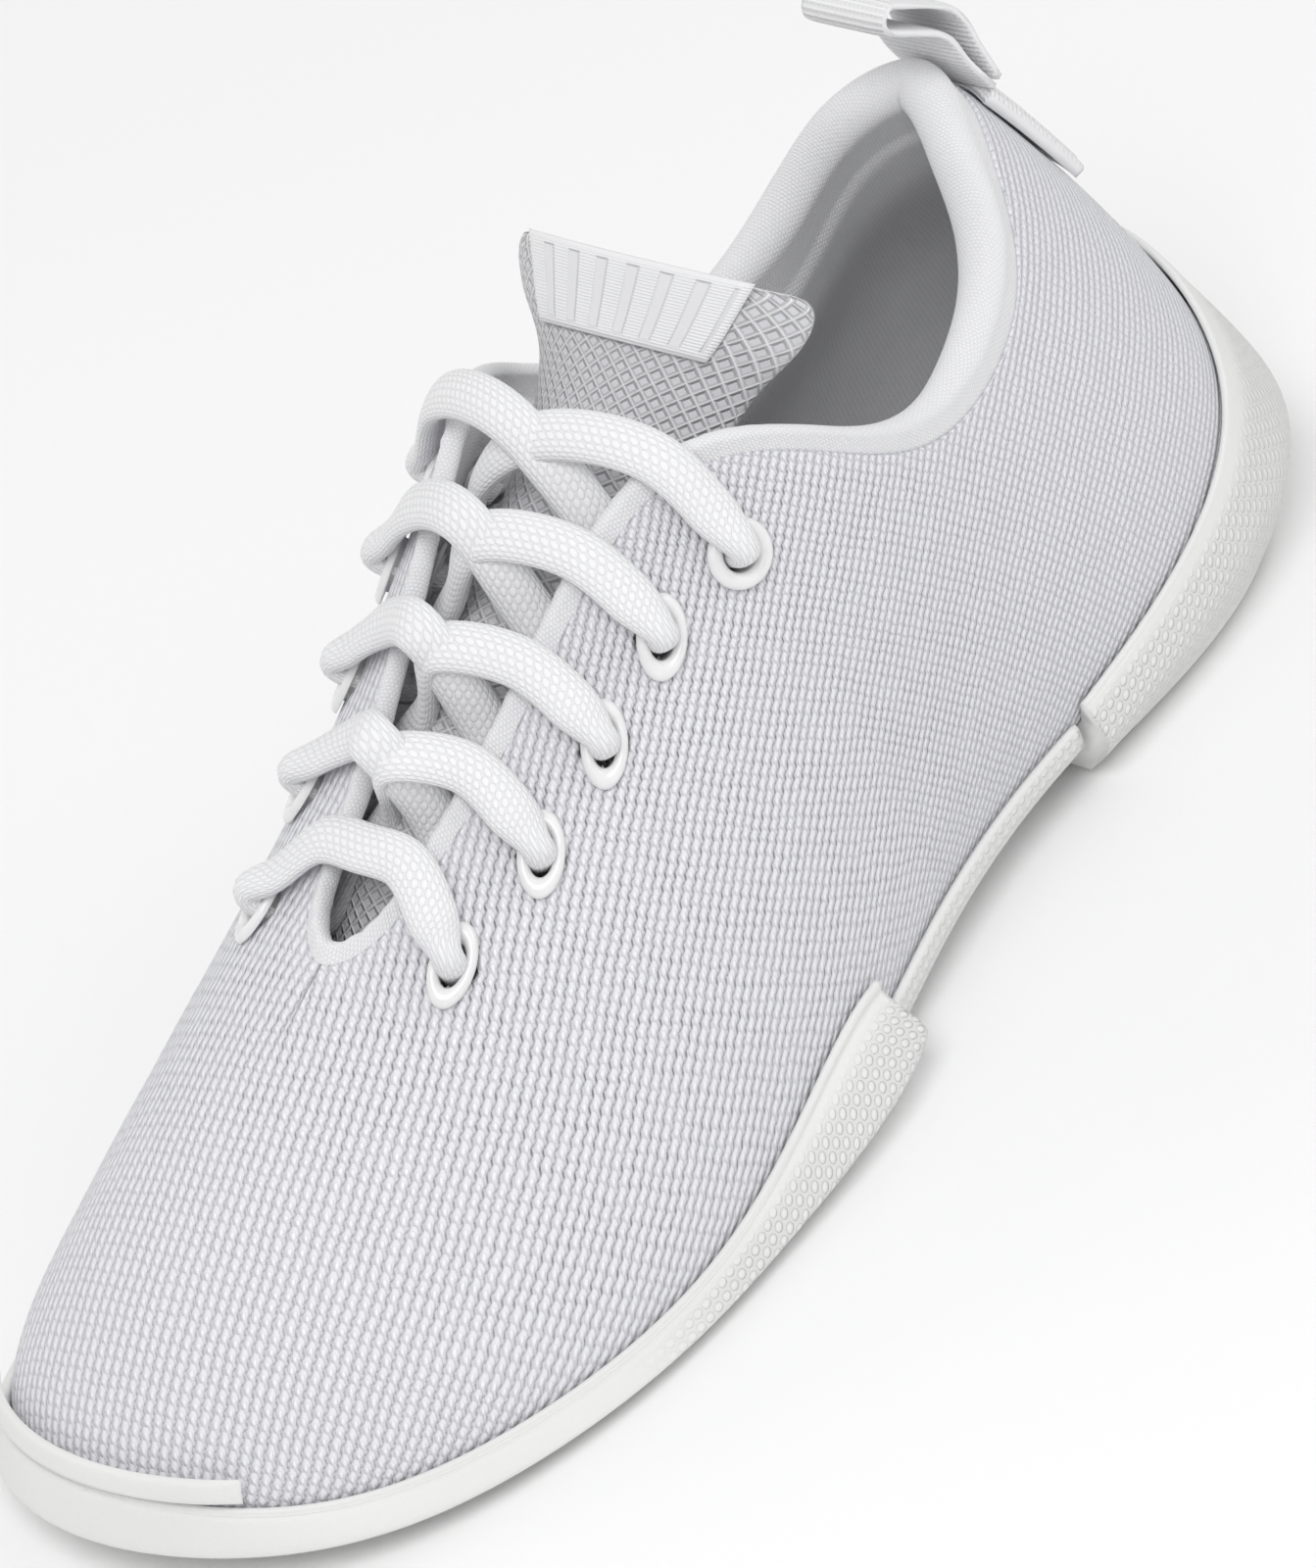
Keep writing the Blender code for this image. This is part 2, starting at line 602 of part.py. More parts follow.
def tongue_rib(t, low, high, half=1.0, columns=9):
    """Section of the tongue between two depths below its outer face: a crowned strip."""
    x, z, width, drop = tongue_line(np.array([t]))[0]
    ahead = tongue_line(np.array([t + 0.02]))[0] - tongue_line(np.array([t - 0.02]))[0]
    out = unit(np.array([ahead[1], 0, -ahead[0]]))
    out = out if out[2] > 0 else -out
    f = np.linspace(-half, half, columns)
    face = np.stack([np.full_like(f, x), width * f, np.full_like(f, z)], 1)
    face = face - out * (drop * f**2)[:, None]
    tilt = 2 * drop * f / width
    normal = unit(out + np.stack([0 * f, tilt, 0 * f], 1))
    thin = 1 - 0.5 * (f / 1.0) ** 6
    top = face - normal * (low * np.ones_like(f))[:, None]
    bottom = face - normal * (low + (high - low) * thin)[:, None]
    return np.vstack([top, bottom[::-1]])


def tongue():
    """Padded tongue with its lining and the stitched patch near its top."""
    t = np.linspace(0, len(TONGUE_ROWS) - 1, 20)
    loft("tongue_body", [tongue_rib(k, 0, TONGUE) for k in t], WHITE_CLOTH, 0.85)
    loft("tongue_lining", [tongue_rib(k, TONGUE + GAP, TONGUE + GAP + TONGUE_LINING, 0.97)
                           for k in t], WHITE_CLOTH, 0.8)
    half, length, thick = PATCH
    span = length / np.linalg.norm(np.diff(tongue_line(np.array([PATCH_ROW - 0.5, PATCH_ROW + 0.5]))[:, :2], axis=0))
    share = half / tongue_line(np.array([PATCH_ROW - span / 2]))[0][2]
    loft("tongue_patch", [tongue_rib(k, -(GAP + thick), -GAP, share, 7)
                          for k in np.linspace(PATCH_ROW - span / 2, PATCH_ROW + span / 2, 6)],
         WHITE_CLOTH, 0.5)


def turned(name, profile, frame, colour, roughness, metallic):
    """Ring turned about the normal of an eyelet: a closed profile with a Screw modifier."""
    centre, normal, up, along = frame
    mesh = bpy.data.meshes.new(name)
    count = len(profile)
    mesh.from_pydata([(r, 0, h) for r, h in profile],
                     [(i, (i + 1) % count) for i in range(count)], [])
    obj = place(name, mesh, colour, roughness, metallic)
    obj.location = centre
    obj.rotation_mode = "QUATERNION"
    obj.rotation_quaternion = Vector(normal).to_track_quat("Z", "Y")
    screw = obj.modifiers.new("turn", "SCREW")
    screw.steps = screw.render_steps = 16
    screw.use_merge_vertices = False
    screw.use_smooth_shade = True
    return obj


def eyelets(side, label):
    """Ring and washer of each eyelet on one side."""
    outer = EYELET_BORE + EYELET_WALL
    for row, seat in enumerate(eyelet_seats(side), 1):
        frame = seat_frame(seat)
        back = seat_depth(seat) + EYELET_SEAT + GAP
        end = -(back + EYELET_RING)
        top = EYELET_SEAT + EYELET_RING
        ring = [(EYELET_BORE, top - EYELET_ROUND), (EYELET_BORE + EYELET_ROUND, top),
                (EYELET_FLANGE - EYELET_ROUND, top), (EYELET_FLANGE, EYELET_SEAT),
                (outer, EYELET_SEAT), (outer, end), (EYELET_BORE, end)]
        turned(f"eyelet_{label}_{row}", ring, frame, ENAMEL, 0.3, 0.0)
        seat_in = outer + GAP
        washer = [(seat_in, -back), (EYELET_FLANGE - EYELET_ROUND, -back),
                  (EYELET_FLANGE - EYELET_ROUND, end + GAP), (seat_in, end + GAP)]
        turned(f"eyelet_washer_{label}_{row}", washer, frame, ENAMEL, 0.35, 0.0)


def eyelet_holes():
    """One cutter with a pin through every eyelet seat, and the layers that it cuts."""
    work = bmesh.new()
    for side in (1, -1):
        for seat in eyelet_seats(side):
            centre, normal, up, along = seat_frame(seat)
            turn = Vector(normal).to_track_quat("Z", "Y").to_matrix().to_4x4()
            turn.translation = Vector(centre)
            bmesh.ops.create_cone(work, cap_ends=True, segments=16,
                                  radius1=EYELET_BORE + EYELET_WALL + GAP,
                                  radius2=EYELET_BORE + EYELET_WALL + GAP,
                                  depth=0.016, matrix=turn)
    mesh = bpy.data.meshes.new("eyelet_holes")
    work.to_mesh(mesh)
    work.free()
    cutter = bpy.data.objects.new("eyelet_holes", mesh)
    cutters.objects.link(cutter)
    cutter.hide_render = True
    cutter.display_type = "WIRE"
    for name in ("knit_upper", "eyestay_lateral", "eyestay_medial", "quarter_lining",
                 "vamp_lining"):
        cut = shoe.objects[name].modifiers.new("eyelet holes", "BOOLEAN")
        cut.operation = "DIFFERENCE"
        cut.object = cutter


def lace_side(side):
    """Route of one half of the lace: from the middle of the bottom bar up to its tail.

    At each row the lace comes over the edge, goes in through the eyelet, runs back under the
    eyestay to the edge and crosses the tongue to the next row on the other side.
    """
    clear = LACE + GAP
    route = []
    for row in range(EYELET_ROWS):
        here = side if row % 2 == 0 else -side
        seat = eyelet_seats(here)[row]
        centre, normal, up, along = seat_frame(seat)
        toe = along * (1 if here > 0 else -1)
        edge = wall(seat[0], 1.0)
        edge_normal = wall_normal(np.asarray(seat[0]), np.asarray(1.0))
        edge_up = wall_slopes(np.asarray(seat[0]), np.asarray(1.0))[1]
        high = EYELET_SEAT + EYELET_RING + clear
        low = seat_depth(seat) + EYELET_SEAT + GAP + EYELET_RING + clear
        over = BINDING_PROUD + clear
        rolled = float(binding_radius(seat[0]))
        route += [edge + edge_up * (rolled + BINDING_SEAT) + edge_normal * (over + LACE_OVER)
                  + toe * LACE_LEAN,
                  centre + normal * (high + LACE_EASE) + up * LACE_BEND + toe * LACE_EASE,
                  centre - normal * 0.4 * low]
        if row == EYELET_ROWS - 1:
            route += [centre - normal * low]
            break
        under = seat_depth(seat) + clear
        route += [centre - normal * low + up * LACE_BEND,
                  edge - edge_normal * (under + LACE_EASE) + edge_up * LACE_EASE
                  - toe * (LACE_BACK - LACE_BEND),
                  edge - edge_normal * (under - LACE_BEND)
                  + edge_up * (2 * rolled + BINDING_SEAT + clear) - toe * LACE_BACK]
        other = eyelet_seats(-here)[row + 1]
        landing = wall(other[0], 1.0)
        middle = (edge + landing) / 2
        middle[2] += CROSS_RISE + (LACE_CROSS if here > 0 else 0.0)
        route += [middle]
    tail = graded(TAIL_LATERAL if here > 0 else TAIL_MEDIAL)
    return route + list(tail)


def shoelace():
    """Lace along its whole route, with a tip on each end."""
    right, left = lace_side(1), lace_side(-1)
    bar = (right[0] + left[0]) / 2
    bar[2] += LACE_EASE
    route = [*left[::-1], bar, *right]
    tube("shoelace", route, LACE, WHITE_CLOTH, 0.8, sides=2)
    for label, end, before in (("lateral", right[-1], right[-2]), ("medial", left[-1], left[-2])):
        way = unit(end - before)
        tube(f"aglet_{label}", [end + way * GAP, end + way * (GAP + AGLET_LENGTH)], AGLET,
             ENAMEL, 0.3, sides=3)


def pull_tab():
    """Webbing at the heel: a strip sewn down the back and the folded loop above it."""
    per_station = np.linalg.norm(wall_face(0.1, np.asarray(0.8)) - wall_face(-0.1, np.asarray(0.8))) / 0.2
    half = TAB_WIDTH / 2 / per_station
    thick = 2 * TAB_WALL
    layer("pull_tab_strip", np.linspace(-half, half, 5), np.linspace(TAB_LOW, TAB_ROOT, 5),
          -(GAP + thick), thick, WHITE_CLOTH, 0.5)
    root, normal, up, _ = seat_frame((0.0, TAB_ROOT))
    low_share, middle_share, high_share = TAB_SHARES
    spine = [root + normal * (2 * GAP + TAB_WALL) + up * 1.5 * GAP]
    lean = unit(np.array(TAB_LEAN))
    spine.append(spine[0] + up * low_share * TAB_FREE + normal * TAB_FOLD)
    spine.append(spine[1] + unit(up + np.array([0, 0, 0.5])) * middle_share * TAB_FREE)
    spine.append(spine[2] + lean * high_share * TAB_FREE)
    spine = np.array(spine)
    t = np.linspace(0, len(spine) - 1, 9)
    slope = np.gradient(spine, axis=0)
    k = np.minimum(t.astype(int), len(spine) - 2)
    path = hermite(spine[k], slope[k], spine[k + 1], slope[k + 1], (t - k)[:, None])
    along = unit(np.gradient(path, axis=0))
    side = unit(np.stack([-along[:, 2], 0 * along[:, 0], along[:, 0]], 1))
    gape = GAP / 2 + TAB_FOLD * np.sin(np.linspace(0, np.pi * 0.6, len(path)))
    back = path + side * (gape + TAB_WALL)[:, None]
    front = path - side * (gape + TAB_WALL)[:, None]
    back_in = path + side * gape[:, None]
    front_in = path - side * gape[:, None]
    turn = np.linspace(np.pi / 2, -np.pi / 2, 7)[1:-1]
    end, way, out = path[-1], along[-1], side[-1]
    reach = gape[-1] + TAB_WALL
    cap = [end + out * reach * math.sin(a) + way * reach * math.cos(a) for a in turn]
    cap_in = [end + out * gape[-1] * math.sin(a) + way * gape[-1] * math.cos(a) for a in turn]
    outline = np.array([*back, *cap, *front[::-1], *front_in, *cap_in[::-1], *back_in[::-1]])
    ribs = [outline + np.array([0, y, 0]) for y in (-TAB_WIDTH / 2, TAB_WIDTH / 2)]
    loft("pull_tab_loop", ribs, WHITE_CLOTH, 0.5)


clear_scene()
shoe = collection("cheer_shoe")
cutters = collection("cutters")
upper_layers()
collar_padding()
topline_binding()
underfoot()
soles()
tongue()
eyelets(1, "lateral")
eyelets(-1, "medial")
eyelet_holes()
shoelace()
pull_tab()
hinges()
centre_in_frame()
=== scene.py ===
"""Looks of the split-sole cheer shoe: every piece is worked out as a surface in the shoe's own
coordinates. +X runs from heel to toe, +Y to the outer side, +Z up, with the ground at z = 0.
A station s runs once around the shoe: 0 at the back of the heel, 10 at the toe tip, 0 to 10
along the outer side and 10 to 20 back. v runs up the upper, 0 at the sole and 1 at its top edge.
"""
import math

import bmesh
import bpy
import numpy as np
from mathutils import Matrix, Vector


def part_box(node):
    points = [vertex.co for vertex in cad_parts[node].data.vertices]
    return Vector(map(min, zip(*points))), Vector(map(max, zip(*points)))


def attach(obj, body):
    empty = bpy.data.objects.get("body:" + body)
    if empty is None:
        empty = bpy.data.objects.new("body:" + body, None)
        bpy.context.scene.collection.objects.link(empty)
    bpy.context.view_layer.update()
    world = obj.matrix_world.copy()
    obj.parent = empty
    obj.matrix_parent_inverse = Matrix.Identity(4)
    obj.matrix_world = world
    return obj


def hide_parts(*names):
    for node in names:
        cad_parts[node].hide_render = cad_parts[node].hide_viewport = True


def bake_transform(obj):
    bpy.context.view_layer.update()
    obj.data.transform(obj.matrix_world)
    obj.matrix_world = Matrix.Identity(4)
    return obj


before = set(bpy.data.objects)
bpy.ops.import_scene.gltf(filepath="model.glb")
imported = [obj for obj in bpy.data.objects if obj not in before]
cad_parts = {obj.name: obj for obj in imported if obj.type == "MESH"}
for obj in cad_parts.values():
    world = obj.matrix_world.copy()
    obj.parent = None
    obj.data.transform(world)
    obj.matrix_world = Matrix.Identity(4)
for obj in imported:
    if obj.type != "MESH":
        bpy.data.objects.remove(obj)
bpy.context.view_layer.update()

# ------------------------------------------------------------------ floor, lights and camera
# A matt white sheet on a table, one large soft box high on the toe side, a second at the heel
# and pale walls all round. The camera looks down over the outer side, turned on its axis.
CAMERA_TURN = (52.0, 37.5, -21.3)      # azimuth, elevation and roll, degrees
CAMERA_AWAY = 1.2
CAMERA_AIM = (0.00623, -0.00128, 0.041)
CAMERA_SLIDE = (0.009, 0.0003)         # aim moved to the right and up in the picture
LENS = 195.75
PAPER = (0.93, 0.93, 0.93)


def unit(vector):
    """Vectors at length one."""
    return vector / np.linalg.norm(vector, axis=-1, keepdims=True)


def looking(back, roll=0.0):
    """Right, up and back directions of something that looks against `back`."""
    right = unit(np.cross((0, 0, 1), back))
    up = np.cross(back, right)
    turn = math.radians(roll)
    return (math.cos(turn) * right + math.sin(turn) * up,
            math.cos(turn) * up - math.sin(turn) * right, back)


def stand(name, data, place, axes):
    """Object at a place with the given right, up and back directions."""
    obj = bpy.data.objects.new(name, data)
    bpy.context.scene.collection.objects.link(obj)
    turn = Matrix([[*row] for row in np.column_stack(axes)]).to_4x4()
    obj.matrix_world = Matrix.Translation([float(c) for c in place]) @ turn
    return obj


def direction(azimuth, elevation):
    """Unit vector from the shoe towards a place in the room."""
    a, e = math.radians(azimuth), math.radians(elevation)
    return np.array([math.cos(a) * math.cos(e), math.sin(a) * math.cos(e), math.sin(e)])


camera_data = bpy.data.cameras.new("camera")
camera_data.lens = LENS
camera_data.clip_start = 0.01
axes = looking(direction(*CAMERA_TURN[:2]), CAMERA_TURN[2])
spot = (np.array(CAMERA_AIM) + CAMERA_SLIDE[0] * axes[0] + CAMERA_SLIDE[1] * axes[1]
        + CAMERA_AWAY * axes[2])
bpy.context.scene.camera = stand("camera", camera_data, spot, axes)

for name, azimuth, elevation, away, size, power in (
        ("key", 45, 58, 1.5, 0.9, 9.0), ("fill", 140, 40, 1.6, 1.2, 4.0),
        ("side", -80, 35, 1.6, 1.0, 3.0)):
    light = bpy.data.lights.new(name, "AREA")
    light.shape = "DISK"
    light.size = size
    light.energy = power
    back = direction(azimuth, elevation)
    stand(name, light, back * away, looking(back))

world = bpy.data.worlds.new("pale room")
bpy.context.scene.world = world
world.use_nodes = True
world.node_tree.nodes["Background"].inputs["Color"].default_value = (1, 1, 1, 1)
world.node_tree.nodes["Background"].inputs["Strength"].default_value = 0.58
bpy.context.scene.view_settings.view_transform = "Standard"


class Wire:
    """One output of a node; arithmetic on it adds Math nodes to the same material."""

    def __init__(self, tree, socket):
        self.tree, self.socket = tree, socket

    def math(self, operation, *values):
        node = self.tree.nodes.new("ShaderNodeMath")
        node.operation = operation
        for slot, value in zip(node.inputs, values):
            feed(self.tree, slot, value)
        return Wire(self.tree, node.outputs[0])

    def __add__(self, other):
        return self.math("ADD", self, other)

    def __sub__(self, other):
        return self.math("SUBTRACT", self, other)

    def __rsub__(self, other):
        return self.math("SUBTRACT", other, self)

    def __mul__(self, other):
        return self.math("MULTIPLY", self, other)

    def __truediv__(self, other):
        return self.math("DIVIDE", self, other)

    def __pow__(self, other):
        return self.math("POWER", self, other)

    __radd__, __rmul__ = __add__, __mul__

    def floor(self):
        return self.math("FLOOR", self)

    def fraction(self):
        return self.math("FRACT", self)

    def sine(self):
        return self.math("SINE", self)

    def size(self):
        return self.math("ABSOLUTE", self)

    def smaller(self, other):
        return self.math("MINIMUM", self, other)

    def larger(self, other):
        return self.math("MAXIMUM", self, other)

    def clamp(self):
        return self.larger(0.0).smaller(1.0)

    def step(self, low, high):
        """0 below low, 1 above high and smooth between."""
        t = ((self - low) / (high - low)).clamp()
        return t * t * (3.0 - 2.0 * t)


def feed(tree, slot, value):
    """Link a wire into a socket, or set the socket's own value."""
    if isinstance(value, Wire):
        tree.links.new(value.socket, slot)
    else:
        slot.default_value = value


class Finish:
    """Principled material of one kind of surface."""

    def __init__(self, name, colour=(0.8, 0.8, 0.8), **constants):
        self.material = bpy.data.materials.new(name)
        self.material.use_nodes = True
        self.tree = self.material.node_tree
        self.shader = self.tree.nodes["Principled BSDF"]
        self.set(Base_Color=(*colour, 1.0), **constants)

    def set(self, **values):
        for key, value in values.items():
            feed(self.tree, self.shader.inputs[key.replace("_", " ")], value)
        return self

    def node(self, kind, settings=None, output=0, **values):
        """Any other node: its settings first, then its sockets; gives one output."""
        made = self.tree.nodes.new(kind)
        for key, value in (settings or {}).items():
            setattr(made, key, value)
        for key, value in values.items():
            key = int(key[1:]) if key[1:].isdigit() else key.replace("_", " ")
            feed(self.tree, made.inputs[key], value)
        return Wire(self.tree, made.outputs[output])

    def uv(self, name):
        """The two values of a UV map, in metres along and across the cloth."""
        place = self.node("ShaderNodeUVMap", {"uv_map": name})
        return self.split(place)[:2]

    def split(self, vector):
        parts = self.node("ShaderNodeSeparateXYZ", None, 0, Vector=vector)
        node = parts.socket.node
        return [Wire(self.tree, node.outputs[k]) for k in range(3)]

    def place(self):
        return self.node("ShaderNodeTexCoord", None, "Object")

    def given(self, name):
        """A number carried by the mesh."""
        return self.node("ShaderNodeAttribute", {"attribute_name": name}, "Fac")

    def noise(self, scale, detail=2.0, vector=None):
        """Cloudy value about 0.5; scale is in features per metre."""
        return self.node("ShaderNodeTexNoise", None, 0, Scale=scale, Detail=detail,
                         Vector=vector or self.place())

    def blend(self, factor, low, high):
        """Colour from low to high."""
        low, high = ((*c, 1.0) if isinstance(c, tuple) else c for c in (low, high))
        return self.node("ShaderNodeMix", {"data_type": "RGBA"}, 2, i0=factor, i6=low, i7=high)

    def bump(self, height, depth, strength=1.0):
        """Relief of the given depth in metres for a height of 0 to 1."""
        return self.set(Normal=self.node("ShaderNodeBump", None, 0, Height=height, Distance=depth,
                                         Strength=strength))


def paper():
    """Matt white paper with a faint tooth."""
    finish = Finish("paper", PAPER, Roughness=0.9, Specular_IOR_Level=0.1)
    tooth = finish.noise(900.0)
    finish.set(Base_Color=finish.blend(tooth, (0.925, 0.925, 0.925), (0.935, 0.935, 0.935)))
    return finish.bump(tooth, 0.00002)


bpy.ops.mesh.primitive_plane_add(size=6.0)
floor = bpy.context.object
floor.name = "floor"
floor.data.materials.append(paper().material)

# ------------------------------------------------------------------ shoelace
# One soft, oval polyester lace, tubular woven, about 7 mm wide. It lies as a bar over the bottom
# of the throat, then runs under each eyelet stay and criss-crosses to the top, ends tucked in.
MM = 0.001
GAP = 0.00035
KNIT = 0.0014
STIFFENER = 0.0009
LINING = 0.0007
COLLAR_FOAM = 0.0042
BINDING_ANKLE, BINDING_THROAT = 0.0040, 0.0016
BINDING_PROUD, BINDING_SEAT = 0.0008, 0.0018
PAIR = 20
LACE_RADIUS = 0.0016
LACE_HALF_WIDTH, LACE_HALF_DEPTH = 0.0037, 0.0015
LACE_IN_HOLE = (0.0023, 0.0019)
LACE_SINK, LACE_CROWN = 0.0012, 0.0038   # flat lace: lower at its turns, higher where it crosses
EDGE_SINK, LANDING = 0.00204, 0.42       # lower over the edge; flat from this share of the way
EYELET_ROWS = 5
EYELET_PITCH, EYELET_START, EYELET_EDGE = 0.0166, 0.0205, 0.0135
EYELET_BORE, EYELET_WALL, EYELET_FLANGE = 0.0026, 0.0005, 0.0050
EYELET_RING, EYELET_SEAT = 0.0010, 0.0005
CROSS_RISE, LACE_CROSS = 0.0055, 0.0042
LACE_OVER, LACE_LEAN, LACE_BACK, LACE_BEND, LACE_EASE = 0.0016, 0.0025, 0.0030, 0.0012, 0.0004

# Feather edge and top edge of the upper with their tangents, one row a station, in mm.
UPPER = (
    ((-3, 0, 18), (19, 0, 87), (-20, 0, 46), (14, 0, 22)),
    ((8, 24, 15), (29, 16, 82.5), (-10, 16, 46), (10, -12, 28)),
    ((38, 33, 12), (44, 27, 71), (0, 14, 46), (0, -10, 34)),
    ((75, 33, 11), (70, 32, 69), (0, 14, 44), (-2, -6, 34)),
    ((105, 36, 9), (92, 30, 84), (0, 14, 46), (0, -14, 42)),
    ((130, 41, 6), (112, 20, 90), (0, 14, 48), (0, -34, 38)),
    ((160, 45, 4), (137, 14, 76), (2, 12, 46), (-6, -44, 30)),
    ((190, 44, 4), (156, 11, 65), (6, 10, 44), (-20, -46, 26)),
    ((220, 34, 6), (171, 8, 58.5), (10, 8, 42), (-40, -30, 24)),
    ((238, 17, 9), (178, 4, 56), (12, 5, 42), (-55, -14, 22)),
    ((245, -5, 11), (180, 0, 55.5), (12, -1, 42), (-60, 0, 22)),
    ((240, -25, 10), (178, -4, 56), (12, -5, 42), (-55, 14, 22)),
    ((224, -37, 7), (171, -8, 58.5), (10, -8, 42), (-40, 30, 24)),
    ((195, -43, 4), (156, -11, 65), (6, -10, 46), (-20, 46, 26)),
    ((165, -43, 4), (137, -14, 76), (2, -10, 50), (-6, 44, 30)),
    ((135, -36, 7), (112, -19, 90), (0, -10, 50), (0, 34, 38)),
    ((105, -29, 11), (93, -28, 82), (0, -12, 46), (0, 12, 42)),
    ((75, -28, 12), (70, -27, 66), (0, -14, 42), (-2, 5, 32)),
    ((38, -31, 12), (44, -24, 68), (0, -12, 46), (0, 9, 34)),
    ((8, -23, 15), (29, -15.5, 82), (-10, -14, 46), (10, 12, 28)),
)
TAIL_OUTER = ((108, 25, 68), (110, 25, 55), (118, 25, 40), (132, 26, 29), (150, 28, 25))
TAIL_INNER = ((108, -23.5, 68), (110, -23, 55), (118, -21, 40), (132, -20, 30), (150, -23, 25))


def hermite(p, tangent_p, q, tangent_q, f):
    """Cubic from p to q with the given end tangents, at the fraction f."""
    return ((2 * f**3 - 3 * f**2 + 1) * p + (f**3 - 2 * f**2 + f) * tangent_p
            + (3 * f**2 - 2 * f**3) * q + (f**3 - f**2) * tangent_q)


def ring_spline(values, s):
    """Closed cubic spline through one row per station, read at the stations s."""
    values = np.asarray(values, float)
    n = len(values)
    system = 4 * np.eye(n) + np.roll(np.eye(n), 1, 0) + np.roll(np.eye(n), -1, 0)
    slope = np.linalg.solve(system, 3 * (np.roll(values, -1, 0) - np.roll(values, 1, 0)))
    s = np.asarray(s, float)
    k = np.floor(s).astype(int)
    a, b = k % n, (k + 1) % n
    return hermite(values[a], slope[a], values[b], slope[b], (s - k)[..., None])


stations = (np.array(UPPER, float) * MM).reshape(len(UPPER), 12)


def wall_face(s, v):
    """Outer face of the upper: at each station a cubic from the feather edge to the top."""
    s, v = np.broadcast_arrays(np.asarray(s, float), np.asarray(v, float))
    row = ring_spline(stations, s)
    return hermite(row[..., 0:3], row[..., 6:9], row[..., 3:6], row[..., 9:12], v[..., None])


def wall_slopes(s, v):
    """Unit directions along the stations and up the wall."""
    step = 0.01
    along = wall_face(s + step, v) - wall_face(s - step, v)
    rise = wall_face(s, v + step) - wall_face(s, v - step)
    return unit(along), unit(rise)


def wall_normal(s, v):
    """Outward normal of the upper."""
    along, rise = wall_slopes(s, v)
    return unit(np.cross(rise, along))


def wall(s, v, depth=0.0):
    """Points of the upper moved in from its outer face by depth."""
    s, v = np.broadcast_arrays(np.asarray(s, float), np.asarray(v, float))
    return wall_face(s, v) - np.asarray(depth)[..., None] * wall_normal(s, v)


def ramp(x, a, b):
    """0 before a, 1 after b and smooth between."""
    t = np.clip((np.asarray(x, float) - a) / (b - a), 0, 1)
    return t * t * (3 - 2 * t)


def around(s):
    """Distance in stations from the back of the heel, along either side."""
    s = np.mod(np.asarray(s, float), PAIR)
    return np.minimum(s, PAIR - s)


def stack_depth(s, v):
    """Depth of the lining's hidden face: past knit and stiffener, and past foam at the collar."""
    foam = (1 - ramp(around(s), 3.0, 4.2)) * ramp(v, 0.45, 0.80)
    return KNIT + STIFFENER + 3 * GAP + COLLAR_FOAM * foam


def roll_radius(s):
    """Radius of the rolled edge: thick round the ankle, thin along the throat."""
    return BINDING_ANKLE + (BINDING_THROAT - BINDING_ANKLE) * ramp(around(s), 2.6, 4.8)


def eyelet_seats(side):
    """Station and height of the five eyelets on one side, a pitch apart along the throat."""
    s = np.linspace(10, 4.3, 400)
    s = s if side > 0 else PAIR - s
    rise = np.linspace(1, 0.6, 60)
    grid = wall_face(s[:, None], rise[None, :])
    run = np.cumsum(np.linalg.norm(np.diff(grid, axis=1), axis=2), axis=1)
    v = np.array([np.interp(EYELET_EDGE, row, rise[1:]) for row in run])
    edge = wall_face(s, 1.0)
    steps = np.linalg.norm(np.diff(edge, axis=0), axis=1)
    reach = np.concatenate([[0], np.cumsum(steps)])
    at = EYELET_START + EYELET_PITCH * np.arange(EYELET_ROWS)
    return np.stack([np.interp(at, reach, s), np.interp(at, reach, v)], 1)


def seat_frame(seat):
    """Centre on the knit's face, outward normal, direction to the throat and along it."""
    s, v = np.asarray(seat[0]), np.asarray(seat[1])
    along, rise = wall_slopes(s, v)
    return wall_face(s, v), unit(np.cross(rise, along)), rise, along


def into_frame():
    """The shift that puts the middle of the sole's outline over the origin."""
    low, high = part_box("knit_upper")
    face = wall_face(np.linspace(0, PAIR, 60, endpoint=False)[:, None],
                     np.array([0.0, 0.06, 0.18, 0.32, 0.46, 0.60, 0.76, 0.88, 1.0])[None, :])
    shift = (np.array(low) + np.array(high) - face.min((0, 1)) - face.max((0, 1))) / 2
    return np.array([shift[0], shift[1], 0.0])


seats = {side: eyelet_seats(side) for side in (1, -1)}
SHIFT = into_frame()


